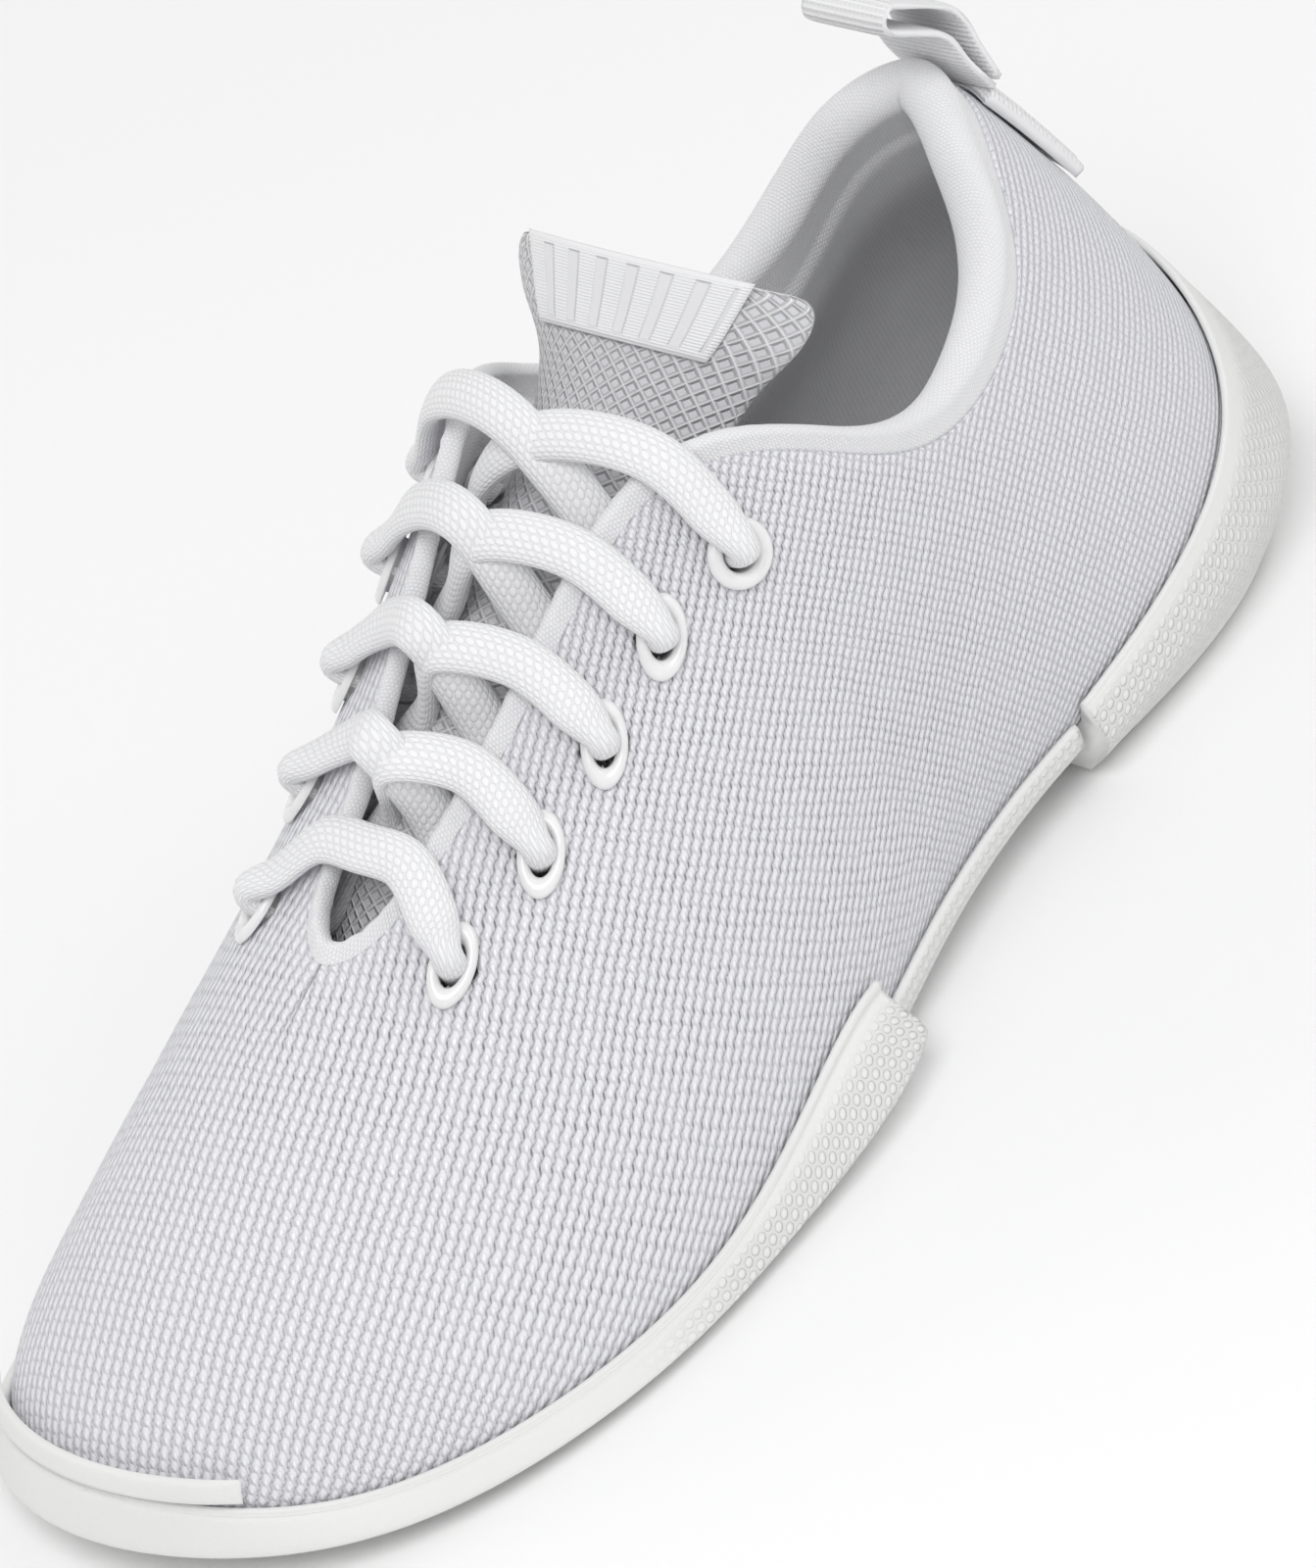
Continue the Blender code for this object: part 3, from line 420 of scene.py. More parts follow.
def lace_half(side):
    """Knots of one half of the lace with the way its flat side faces and how bunched it is.

    At each row it comes over the edge, goes in through the eyelet, runs back under the stay
    to the edge and crosses the tongue to the next row on the other side. A turn of the flat
    side by half a circle in each eyelet keeps it from twisting.
    """
    clear = LACE_RADIUS + GAP
    knots = []
    for row in range(EYELET_ROWS):
        here = side if row % 2 == 0 else -side
        turned = 1 if row % 2 == 0 else -1
        seat = seats[here][row]
        centre, normal, rise, along = seat_frame(seat)
        toe = along * here
        edge = wall(seat[0], 1.0)
        edge_normal = wall_normal(seat[0], 1.0)
        edge_rise = wall_slopes(seat[0], 1.0)[1]
        deep = float(stack_depth(*seat)) + LINING
        high = EYELET_SEAT + EYELET_RING + clear
        low = deep + EYELET_SEAT + GAP + EYELET_RING + clear
        rolled = float(roll_radius(seat[0]))
        knots += [
            (edge + edge_rise * (rolled + BINDING_SEAT) + toe * LACE_LEAN
             + edge_normal * (BINDING_PROUD + clear + LACE_OVER - EDGE_SINK),
             edge_normal * turned, 0),
            (centre + normal * (EYELET_SEAT + clear) + rise * LANDING * EYELET_EDGE
             + toe * LACE_LEAN / 2, normal * turned, 0.2),
            (centre + normal * (high + LACE_EASE) + rise * LACE_BEND + toe * LACE_EASE,
             (normal - rise) * turned, 1),
            (centre - normal * 0.4 * low, -rise * turned, 1)]
        if row == EYELET_ROWS - 1:
            knots += [(centre - normal * low, -(rise + normal) * turned, 1)]
            break
        under = deep + clear
        knots += [
            (centre - normal * low + rise * LACE_BEND, -(rise + normal) * turned, 1),
            (edge - edge_normal * (under + LACE_EASE) + edge_rise * LACE_EASE
             - toe * (LACE_BACK - LACE_BEND), -edge_normal * turned, 0),
            (edge - edge_normal * (under - LACE_BEND)
             + edge_rise * (2 * rolled + BINDING_SEAT + clear - LACE_SINK) - toe * LACE_BACK,
             -edge_normal * turned, 0)]
        other = seats[-here][row + 1]
        middle = (edge + wall(other[0], 1.0)) / 2
        middle[2] += CROSS_RISE + LACE_CROWN + (LACE_CROSS - LACE_SINK if here > 0 else 0.0)
        knots += [(middle, -(edge_normal + wall_normal(other[0], 1.0)) * turned, 0)]
    tail = np.array(TAIL_OUTER if here > 0 else TAIL_INNER, float) * MM
    knots += [(point, -normal * turned, 0) for point in tail]
    return knots


def through(knots, values, count):
    """Smooth line through knots: cubics with a tangent at each knot from its neighbours,
    read at `count` places evenly spaced along the line."""
    knots, values = np.asarray(knots, float), np.asarray(values, float)
    reach = np.concatenate([[0], np.cumsum(np.linalg.norm(np.diff(knots, axis=0), axis=1))])
    slope = np.gradient(values, reach, axis=0)
    t = np.linspace(0, reach[-1], count)
    k = np.clip(np.searchsorted(reach, t, side="right") - 1, 0, len(reach) - 2)
    span = (reach[k + 1] - reach[k])[:, None]
    f = (t - reach[k])[:, None] / span
    return hermite(values[k], slope[k] * span, values[k + 1], slope[k + 1] * span, f)


def grid_mesh(name, points, uv=None, wrap=(False, False), caps=False, drop=None, inside=False,
              weld=False, given=None):
    """Mesh over a grid of points: a quad between each four neighbours, joined back to the start
    where wrap says so. caps closes the first and last rows, drop leaves quads out, and inside
    turns the faces towards the middle of the piece instead of away from it."""
    rows, columns = points.shape[:2]
    a, b = np.meshgrid(np.arange(rows - (not wrap[0])), np.arange(columns - (not wrap[1])),
                       indexing="ij")
    if drop is not None:
        a, b = a[~drop], b[~drop]
    a, b = a.ravel(), b.ravel()
    corners = [(a, b), (a, b + 1), (a + 1, b + 1), (a + 1, b)]
    quads = np.stack([(i % rows) * columns + j % columns for i, j in corners], 1)
    flat = points.reshape(-1, 3) + SHIFT
    arm = flat[quads] - flat.mean(0)
    volume = (np.cross(arm[:, 1], arm[:, 2]) * arm[:, 0]
              + np.cross(arm[:, 2], arm[:, 3]) * arm[:, 0]).sum()
    turned = (volume < 0) != inside
    if turned:
        quads, corners = quads[:, ::-1], corners[::-1]
    faces = quads.tolist()
    if caps:
        first, last = list(range(columns)), list(range((rows - 1) * columns, rows * columns))
        faces += [first, last[::-1]] if turned else [first[::-1], last]
    mesh = bpy.data.meshes.new(name)
    mesh.from_pydata(flat.tolist(), [], faces)
    for label, table in (uv or {}).items():
        where = np.stack([table[i, j] for i, j in corners], 1).reshape(-1, 2)
        spare = np.zeros((len(mesh.loops) - len(where), 2))
        layer = mesh.uv_layers.new(name=label)
        layer.uv.foreach_set("vector", np.vstack([where, spare]).ravel().astype(np.float32))
    for label, numbers in (given or {}).items():
        layer = mesh.attributes.new(label, "FLOAT", "POINT")
        layer.data.foreach_set("value", np.asarray(numbers, np.float32).ravel())
    if weld:
        work = bmesh.new()
        work.from_mesh(mesh)
        bmesh.ops.remove_doubles(work, verts=work.verts, dist=1e-6)
        bmesh.ops.dissolve_degenerate(work, edges=work.edges, dist=1e-7)
        work.to_mesh(mesh)
        work.free()
    mesh.shade_smooth()
    return mesh


def piece(name, mesh, finish, slot, *stands_for):
    """Object of one piece, standing for its CAD nodes."""
    obj = bpy.data.objects.new(name, mesh)
    bpy.context.scene.collection.objects.link(obj)
    mesh.materials.append(finish.material)
    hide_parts(*stands_for)
    return obj


def closed(points):
    """Grid of points with its first column repeated after its last one."""
    return np.concatenate([points, points[:, :1]], 1)


def run_of(points, axis=0):
    """Distance covered along a line of points, from its start."""
    steps = np.linalg.norm(np.diff(points, axis=axis), axis=-1)
    return np.concatenate([np.zeros_like(np.take(steps, [0], axis)), np.cumsum(steps, axis)], axis)


def paired(a, b):
    """Place on the flat cloth for each point of a grid, from its distances a and b."""
    return np.stack(np.broadcast_arrays(a, b), -1)


def rolled_piece(name, points, cloth, finish, slot, node, **given):
    """Piece whose grid runs round it by columns and is capped at its first and last rows."""
    mesh = grid_mesh(name, points, {"cloth": cloth}, (False, True), caps=True, given=given)
    return piece(name, mesh, finish, slot, node)


def beads(along, across, length, width, lean=0.0, fill=(0.95, 0.85), stagger=0.5):
    """Height of rows of rounded stitches: rows a width apart, stitches a length apart and
    shifted in every other row; each stitch is half an ellipsoid, and lean slants it."""
    lane = across / width
    number = lane.floor()
    step = along / length + (number * 0.5).fraction() * (2.0 * stagger)
    ahead = step.fraction() - 0.5
    side = lane - number - 0.5 + ahead * lean
    body = 1.0 - (ahead * (2.0 / fill[0])) ** 2 - (side * (2.0 / fill[1])) ** 2
    return body.clamp() ** 0.5


def lace_finish():
    """Textured polyester: short raised dashes in lanes along the lace, with painted shade in the
    gaps between the dashes.
    """
    finish = Finish("lace_weave", Roughness=0.62, Sheen_Weight=0.25, Sheen_Roughness=0.5)
    along, across = finish.uv("cloth")
    dash = beads(along, across, 0.0014, 0.00063, 0.3, (1.0, 0.92))
    fibre = finish.noise(5200.0, 1.0)
    # Painted shade: the gaps between the dashes are coloured a deeper grey.
    finish.set(Base_Color=finish.blend(dash.step(0.0, 0.7), (0.79, 0.79, 0.81), (0.87, 0.87, 0.88)))
    return finish.bump(dash + fibre * 0.25, 0.00013)


right, left = lace_half(1), lace_half(-1)
bar = ((right[0][0] + left[0][0]) / 2 + np.array([0, 0, LACE_EASE]),
       right[0][1] + left[0][1], 0)
route = [*left[::-1], bar, *right]
line = np.array([k[0] for k in route])
LACE_RINGS, LACE_SIDES = 1100, 24
spine = through(line, line, LACE_RINGS)
facing = through(line, unit(np.array([k[1] for k in route])), LACE_RINGS)
bunch = np.clip(through(line, np.array([[k[2]] for k in route]), LACE_RINGS), 0, 1)
ahead = unit(np.gradient(spine, axis=0))
facing = unit(facing - (facing * ahead).sum(1, keepdims=True) * ahead)
aside = np.cross(ahead, facing)
half_width = LACE_HALF_WIDTH + (LACE_IN_HOLE[0] - LACE_HALF_WIDTH) * bunch
half_depth = LACE_HALF_DEPTH + (LACE_IN_HOLE[1] - LACE_HALF_DEPTH) * bunch
turn = np.linspace(0, 2 * np.pi, LACE_SIDES, endpoint=False)
oval = np.sign(np.cos(turn)) * np.abs(np.cos(turn)) ** 0.85
lace_points = (spine[:, None] + aside[:, None] * (half_width * oval)[..., None]
               + facing[:, None] * (half_depth * np.sin(turn))[..., None])
lace_reach = run_of(spine)
lace_uv = paired(lace_reach[:, None], np.linspace(0, 0.0147, LACE_SIDES + 1)[None, :])
lace = rolled_piece("lace", lace_points, lace_uv, lace_finish(), "lace", "shoelace")
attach(lace, "shoe")
tuple(spine[0] + SHIFT)
(spine + SHIFT).tolist()

# ------------------------------------------------------------------ lace tips
# Short sleeves of clear acetate film, shrunk on to both ends of the lace, inside the shoe.


def tip_finish():
    """Clear film over white fibre: glossy, with faint lengthwise creases."""
    finish = Finish("lace_tip", Roughness=0.2, Coat_Weight=0.6, Coat_Roughness=0.1)
    crease = finish.noise(1800.0, 3.0)
    finish.set(Base_Color=finish.blend(crease, (0.80, 0.80, 0.80), (0.90, 0.90, 0.89)))
    return finish.bump(crease, 0.00006)


tip = tip_finish()
for name in ("aglet_lateral", "aglet_medial"):
    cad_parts[name].data.materials.clear()
    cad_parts[name].data.materials.append(tip.material)

# ------------------------------------------------------------------ eyelets and washers
# Stamped aluminium rings, about 10 mm across, enamelled white. Each barrel goes through knit,
# stay and lining, and is rolled over a flat washer on the inside.
RING_TURNS = 64


def enamel():
    """Baked white enamel: smooth, glossy and slightly uneven."""
    finish = Finish("eyelet_enamel", Roughness=0.22, Coat_Weight=0.5, Coat_Roughness=0.08)
    pool = finish.noise(700.0, 2.0)
    finish.set(Base_Color=finish.blend(pool, (0.80, 0.80, 0.80), (0.87, 0.87, 0.87)),
               Roughness=0.16 + pool * 0.14)
    return finish.bump(pool, 0.00005)


def arc(centre, radius, first, last, count):
    """Points of an arc in the section plane, angles in degrees."""
    a = np.radians(np.linspace(first, last, count))
    return np.stack([centre[0] + radius[0] * np.cos(a), centre[1] + radius[1] * np.sin(a)], 1)


def turned_ring(name, profile, seat):
    """Closed profile of (radius, height) turned about the wall's normal at an eyelet."""
    centre, normal, rise, along = seat_frame(seat)
    angle = np.linspace(0, 2 * np.pi, RING_TURNS, endpoint=False)
    outward = rise * np.cos(angle)[:, None] + along * np.sin(angle)[:, None]
    points = (centre + outward[:, None] * profile[None, :, :1] + normal * profile[None, :, 1:])
    return grid_mesh(name, points, wrap=(True, True))


white_enamel = enamel()
for side, label in ((1, "lateral"), (-1, "medial")):
    for row, seat in enumerate(seats[side], 1):
        back = float(stack_depth(*seat)) + LINING + EYELET_SEAT + GAP
        end = -(back + EYELET_RING)
        barrel = EYELET_BORE + EYELET_WALL
        middle = (EYELET_BORE + EYELET_FLANGE) / 2
        crown = arc((middle, EYELET_SEAT), (middle - EYELET_BORE, EYELET_RING * 1.15),
                    180, 0, 22)
        section = np.vstack([[(EYELET_BORE, end)], [(EYELET_BORE, end / 2)], crown,
                             [(barrel + 0.0002, EYELET_SEAT - 0.0001)], [(barrel, end / 2)],
                             [(barrel, end)]])
        ring = piece(f"ring_{label}_{row}", turned_ring("ring", section, seat), white_enamel,
                     "enamel", f"eyelet_{label}_{row}")
        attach(ring, "shoe")
        inner = barrel + GAP
        outer = EYELET_FLANGE - 0.0006
        section = np.vstack([[(inner, -back)], [(outer - 0.0002, -back)],
                             arc((outer - 0.0003, -back - 0.0003), (0.0003, 0.0003), 60, -60, 5),
                             [(outer - 0.0002, end + GAP)], [(inner, end + GAP)]])
        washer = piece(f"washer_{label}_{row}", turned_ring("washer", section, seat),
                       white_enamel, "enamel", f"eyelet_washer_{label}_{row}")
        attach(washer, "shoe")

# ------------------------------------------------------------------ knit upper
# One flat-knitted polyester blank, U-shaped and closed at the heel: chains of plump loops with
# slits between them. The columns lean a little at the toe and climb along the quarters.
COLUMN, COURSE = 0.00175, 0.00190       # width of a column of loops, length of a loop
GRAIN_TOE, GRAIN_LEAN = 0.16, 0.62      # slope of the columns at the toe, and added by the heel
GRAIN_START, GRAIN_TURN = 0.040, 0.110  # that lean starts this far behind the toe and takes this
SIDES_APART = (0.060, 0.100)            # the two sides lean apart fully between these distances
TOE_MIDDLE = 0.03                       # width over which one side's lean passes into the other's
KNIT_LINES, KNIT_ROWS = 420, 110
HOLE = 0.0034


def flat_blank(lines, rows, passes=40):
    """Lay the upper out flat, as rigidly as it goes.

    The surface is cut at the heel into triangles. In turn, each triangle is given the turn that
    best fits it, and all points are solved for together so that every edge keeps its length.
    """
    s = np.linspace(0, PAIR, lines)
    v = np.linspace(0, 1, rows)
    space = wall_face(s[:, None], v[None, :]).reshape(-1, 3)
    a = (np.arange(lines - 1)[:, None] * rows + np.arange(rows - 1)[None, :]).ravel()
    corners = np.vstack([np.stack([a, a + rows, a + rows + 1], 1),
                         np.stack([a, a + rows + 1, a + 1], 1)])
    p = space[corners]
    x_axis = unit(p[:, 1] - p[:, 0])
    normal = unit(np.cross(p[:, 1] - p[:, 0], p[:, 2] - p[:, 0]))
    y_axis = np.cross(normal, x_axis)
    local = np.stack([((p - p[:, :1]) * x_axis[:, None]).sum(2),
                      ((p - p[:, :1]) * y_axis[:, None]).sum(2)], 2)
    count = len(space)
    starts, ends, edges, weights, owner = [], [], [], [], []
    for i, j, k in ((0, 1, 2), (1, 2, 0), (2, 0, 1)):
        u, w = local[:, i] - local[:, k], local[:, j] - local[:, k]
        cross = np.abs(u[:, 0] * w[:, 1] - u[:, 1] * w[:, 0]) + 1e-12
        starts.append(corners[:, i])
        ends.append(corners[:, j])
        edges.append(local[:, i] - local[:, j])
        weights.append(np.clip((u * w).sum(1) / cross, 0.05, 5.0))
        owner.append(np.arange(len(corners)))
    starts, ends, owner = (np.concatenate(x) for x in (starts, ends, owner))
    edges, weights = np.vstack(edges), np.concatenate(weights)
    system = np.zeros((count, count))
    np.add.at(system, (starts, starts), weights)
    np.add.at(system, (ends, ends), weights)
    np.add.at(system, (starts, ends), -weights)
    np.add.at(system, (ends, starts), -weights)
    system[0, 0] += 1.0
    solve = np.linalg.inv(system)
    spread = np.radians((s - 10) * 15)[:, None]
    reach = 0.06 + 0.09 * (1 - v)[None, :]
    flat = np.stack([reach * np.cos(spread), reach * np.sin(spread)], 2).reshape(-1, 2)
    for _ in range(passes):
        new = flat[starts] - flat[ends]
        same = weights * (new * edges).sum(1)
        turned = weights * (edges[:, 0] * new[:, 1] - edges[:, 1] * new[:, 0])
        c = np.bincount(owner, same, len(corners))[owner]
        d = np.bincount(owner, turned, len(corners))[owner]
        size = np.hypot(c, d) + 1e-15
        c, d = c / size, d / size
        pull = weights[:, None] * np.stack([c * edges[:, 0] - d * edges[:, 1],
                                            d * edges[:, 0] + c * edges[:, 1]], 1)
        load = np.zeros((count, 2))
        np.add.at(load, starts, pull)
        np.add.at(load, ends, -pull)
        flat = solve @ load
    flat = flat.reshape(lines, rows, 2)
    grain = unit(flat[lines // 2, -1] - flat[lines // 2, 0])
    across = np.array([-grain[1], grain[0]])
    return s, v, np.stack([flat @ grain, flat @ across], 2)


def on_grid(s_known, v_known, table, s, v):
    """Values of a coarse table at finer lines and rows, read linearly in each direction."""
    rows = np.array([[np.interp(s, s_known, table[:, j, k]) for k in range(table.shape[2])]
                     for j in range(table.shape[1])])
    return np.moveaxis(np.array([[np.interp(v, v_known, rows[:, k, i]) for i in range(len(s))]
                                 for k in range(table.shape[2])]), 0, 2)


def swell(points, amount, sizes, seed):
    """Soft uneven relief: a sum of sine waves of the given sizes in fixed random directions."""
    random = np.random.default_rng(seed)
    total = np.zeros(points.shape[:-1])
    for size in sizes:
        for _ in range(3):
            way = unit(random.normal(size=3))
            total += np.sin(points @ way * (2 * np.pi / size) + random.uniform(0, 6.28))
    return amount * total / (3 * len(sizes))


def punched(s, v, radius):
    """Quads of a grid over the upper that lie within a radius of an eyelet's centre."""
    centres = wall_face((s[:-1, None] + s[1:, None]) / 2, (v[None, :-1] + v[None, 1:]) / 2)
    holes = np.array([seat_frame(seat)[0] for side in (1, -1) for seat in seats[side]])
    return (np.linalg.norm(centres[:, :, None] - holes, axis=3) < radius).any(2)


def knit_finish():
    """Plump slanted loops in columns, deep slits between the columns where the knit is open,
    close and bead-like where the blank is knitted tight: at toe, collar and heel. The colour has
    painted shade between the loops and in the slits, and a painted highlight dot on each loop."""
    finish = Finish("knit", Roughness=0.55, Sheen_Weight=0.3, Sheen_Roughness=0.45)
    along, across = finish.uv("blank")
    open_knit = finish.given("open_knit")
    drift = finish.noise(60.0, 2.0)
    along = along + (finish.noise(220.0, 1.0) - 0.5) * 0.0012
    across = across + (finish.noise(150.0, 1.0) - 0.5) * 0.0007
    loop = beads(along, across, COURSE, COLUMN, 0.35, (1.16, 0.92), 0.12)
    # A painted highlight: a bright spot near the top of each loop.
    dot = beads(along + 0.0003, across, COURSE, COLUMN, 0.35, (0.55, 0.45), 0.12)
    sway = (along * (2 * math.pi / COURSE)).sine() * 0.10
    lane = ((across / COLUMN + sway).fraction() - 0.5) * 2.08
    ridge = (1.0 - lane * lane).clamp() ** 0.5
    joint = ((along / COURSE).fraction() - 0.5).size().step(0.12, 0.42)
    # This noise breaks the painted slit shade into short dashes.
    slit_dashes = finish.noise(330.0, 2.0).step(0.36, 0.62)
    # Painted shade: the slits between the columns are coloured near black, standing for the shadow
    # in them.
    slit = ((1.0 - ridge.step(0.15, 0.80)) * (0.25 + joint * slit_dashes * 0.95)
            * (open_knit * (0.35 + drift * 1.1)).clamp())
    yarn = finish.noise(4200.0, 1.0)
    # Painted shade: the yarn gets a deeper grey between the loop tops than on them.
    body = finish.blend(loop.step(0.0, 0.8), (0.68, 0.68, 0.72), (0.80, 0.80, 0.84))
    body = finish.blend(slit, body, (0.26, 0.26, 0.29))
    # Painted highlight: the dot is coloured near white and made glossier.
    finish.set(Base_Color=finish.blend(dot * 0.6, body, (0.95, 0.95, 0.96)),
               Roughness=0.62 - dot * 0.22)
    return finish.bump(ridge * 0.5 + loop * 0.4 + dot * 0.2 + yarn * 0.12, 0.0006)


s = np.linspace(0, PAIR, KNIT_LINES + 1)[:-1]
v = np.linspace(0, 1, KNIT_ROWS)
face = wall_face(s[:, None], v[None, :])
relief = swell(face, 0.00035, (0.050, 0.028, 0.017), 3) * np.sin(np.pi * v) ** 0.5
knit_points = wall(s[:, None], v[None, :], -relief + 0.0001)
s_known, v_known, blank = flat_blank(101, 15)
whole_s = np.append(s, PAIR)
knit_uv = on_grid(s_known, v_known, blank, whole_s, v)
toe_tip = knit_uv[np.argmin(np.abs(whole_s - PAIR / 2)), 0]
back, aside = np.moveaxis(knit_uv - toe_tip, -1, 0)
back, side = np.abs(back), np.sign(PAIR / 2 - whole_s)[:, None]
aside = aside * np.sign((aside * side).sum())
side = side + (np.tanh(aside / TOE_MIDDLE) - side) * (1 - ramp(back, *SIDES_APART))
leaning = np.clip(back - GRAIN_START, 0, GRAIN_TURN) / GRAIN_TURN
slant = GRAIN_TOE + side * GRAIN_LEAN * leaning
moved = leaning**2 / 2 * GRAIN_TURN + np.clip(back - GRAIN_START - GRAIN_TURN, 0, None)
knit_uv = np.stack([back - slant * aside,
                    aside + GRAIN_TOE * back + side * GRAIN_LEAN * moved], -1)
x = face[..., 0]
open_knit = (ramp(around(s), 1.5, 4.0)[:, None] * ramp(v, 0.02, 0.22) * (1 - ramp(v, 0.90, 0.99))
             * (1 - 0.75 * ramp(x, 0.178, 0.222)))
closed_s = np.append(s, PAIR)
knit = piece("knit_shell", grid_mesh("knit_shell", knit_points, {"blank": knit_uv},
                                     (True, False), drop=punched(closed_s, v, HOLE),
                                     given={"open_knit": open_knit}),
             knit_finish(), "knit", "knit_upper")
thick = knit.modifiers.new("cloth", "SOLIDIFY")
thick.thickness = KNIT - 0.0003
thick.offset = -1
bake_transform(knit)

# ------------------------------------------------------------------ collar and inner lining
# Smooth warp-knit lining sewn to the knit's top edge, rolled over soft foam round the ankle and
# over a narrow cord along the throat, then taken down inside to the footbed.
ROLL_STEPS, SKIRT_STEPS, LINING_STEPS, LINING_LINES = 20, 4, 54, 480
ROLL_SQUASH, THROAT_SEAT = 0.85, 0.0008   # the soft roll is flatter, and lower at the throat
PUCKER = 0.0031


def tricot():
    """Fine brushed warp knit: hardly visible ribs, soft and matt; painted shade between the ribs
    and a cloudy random tone.
    """
    finish = Finish("tricot_lining", Roughness=0.8, Sheen_Weight=0.35, Sheen_Roughness=0.4)
    along, across = finish.uv("cloth")
    rib = beads(across, along, 0.0007, 0.00055, 0.0, (1.0, 0.95))
    cloud = finish.noise(90.0, 3.0)
    # Painted shade between the ribs, mixed with a random cloudy tone.
    finish.set(Base_Color=finish.blend(rib.step(0.1, 0.9) * 0.6 + cloud * 0.4,
                                       (0.76, 0.76, 0.78), (0.87, 0.87, 0.88)))
    return finish.bump(rib * 0.7 + cloud * 0.6, 0.00012)


s = np.linspace(0, PAIR, LINING_LINES + 1)[:-1]
radius = BINDING_ANKLE + (BINDING_THROAT - BINDING_ANKLE) * ramp(around(s), 1.8, 3.8)
throat = ramp(around(s), 3.8, 5.0)
along, rise = wall_slopes(s, np.ones_like(s))
normal = unit(np.cross(rise, along))
seat_height = BINDING_SEAT + (THROAT_SEAT - BINDING_SEAT) * throat
centre = wall(s, 1.0, radius - BINDING_PROUD) + rise * (radius + seat_height)[:, None]
edge_run = run_of(np.vstack([centre, centre[:1]]))
wave = np.sin(edge_run[:-1] / PUCKER * 2 * np.pi) + 0.5 * np.sin(edge_run[:-1] / PUCKER * 4.4)
angle = np.radians(np.linspace(-25, 180, ROLL_STEPS))
swollen = radius[:, None] * (1 + 0.06 * throat[:, None] * wave[:, None] * np.cos(angle / 2)[None])
swollen = swollen + swell(centre, 0.00022, (0.021, 0.012), 5)[:, None]
roll = (centre[:, None] + normal[:, None] * (swollen * np.cos(angle))[..., None]
        + rise[:, None] * (swollen * np.sin(angle) * ROLL_SQUASH)[..., None])
seam = wall(s, 0.985, KNIT / 2)
skirt = seam[:, None] + (roll[:, :1] - seam[:, None]) * np.linspace(0, 0.9, SKIRT_STEPS)[:, None]
roll = np.concatenate([skirt, roll], 1)
v = np.linspace(0.985, 0.055, LINING_STEPS)
grid_s, grid_v = s[:, None], v[None, :]
rolled_in = (2 * radius - BINDING_PROUD)[:, None]
deep = stack_depth(grid_s, grid_v) + LINING
deep = deep + (rolled_in - deep) * ramp(v, 0.90, 1.0)
bag = wall(grid_s, grid_v, deep)
crease = swell(bag, 0.0005, (0.034, 0.021), 8) * ((1 - ramp(around(s), 3, 5))[:, None]
                                                 * np.sin(np.pi * v)[None, :])
bag = wall(grid_s, grid_v, deep + np.maximum(crease, -0.0003))
lining_points = np.concatenate([roll, bag], 1)
down = run_of(np.concatenate([lining_points, lining_points[:1]]), 1)
lining_uv = paired(edge_run[:, None], down)
columns = lining_points.shape[1]
drop = np.zeros((LINING_LINES, columns - 1), bool)
drop[:, ROLL_STEPS + SKIRT_STEPS:] = punched(np.append(s, PAIR), v[::-1], HOLE)[:, ::-1]
collar = piece("collar_and_lining",
               grid_mesh("collar_and_lining", lining_points, {"cloth": lining_uv}, (True, False),
                         drop=drop, inside=True),
               tricot(), "lining", "topline_binding", "quarter_lining", "vamp_lining")
thick = collar.modifiers.new("cloth", "SOLIDIFY")
thick.thickness = LINING
thick.offset = -1
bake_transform(collar)

# ------------------------------------------------------------------ collar foam and stiffeners
# Sheets hidden between knit and lining: soft foam round the ankle, a thermoplastic toe puff and
# heel counter, and woven tape under the eyelets. All are glued to the back of the knit.


def foam_finish():
    """Open-cell foam: grey, matt and pitted, with painted shade in the pits."""
    finish = Finish("collar_foam", Roughness=0.95)
    cell = finish.node("ShaderNodeTexVoronoi", None, "Distance", Scale=1400.0,
                       Vector=finish.place())
    # Painted shade: the pits are coloured a deeper grey.
    finish.set(Base_Color=finish.blend(cell, (0.48, 0.48, 0.50), (0.66, 0.66, 0.68)))
    return finish.bump(cell, 0.0003)


def stiffener_finish():
    """Non-woven sheet soaked in resin: fibres under a dull film."""
    finish = Finish("stiffener_sheet", Roughness=0.55)
    fibre = finish.noise(2600.0, 4.0)
    finish.set(Base_Color=finish.blend(fibre, (0.60, 0.60, 0.61), (0.78, 0.78, 0.79)),
               Roughness=0.45 + fibre * 0.3)
    return finish.bump(fibre, 0.00008)


def tape_finish():
    """Plain-woven cotton tape, with painted shade where the weave dips."""
    finish = Finish("stay_tape", Roughness=0.85)
    x, y, z = finish.split(finish.place())
    over = ((x * 6000.0).sine() * ((y + z) * 6000.0).sine()) * 0.5 + 0.5
    # Painted shade: the colour is deeper where the weave dips.
    finish.set(Base_Color=finish.blend(over, (0.70, 0.70, 0.70), (0.86, 0.86, 0.85)))
    return finish.bump(over, 0.0001)


def layered(name, s, v, depth, thickness, finish, slot, node, drop=None):
    """Sheet of the upper at one depth below the knit's face, with its own thickness."""
    at = depth(s[:, None], v[None, :]) if callable(depth) else depth
    mesh = grid_mesh(name, wall(s[:, None], v[None, :], at), drop=drop)
    obj = piece(name, mesh, finish, slot, node)
    wall_modifier = obj.modifiers.new("sheet", "SOLIDIFY")
    wall_modifier.thickness = thickness
    wall_modifier.offset = -1
    if mesh.polygons[0].normal.dot(wall_normal(s[0], v[0])) < 0:
        wall_modifier.offset = 1
    return obj


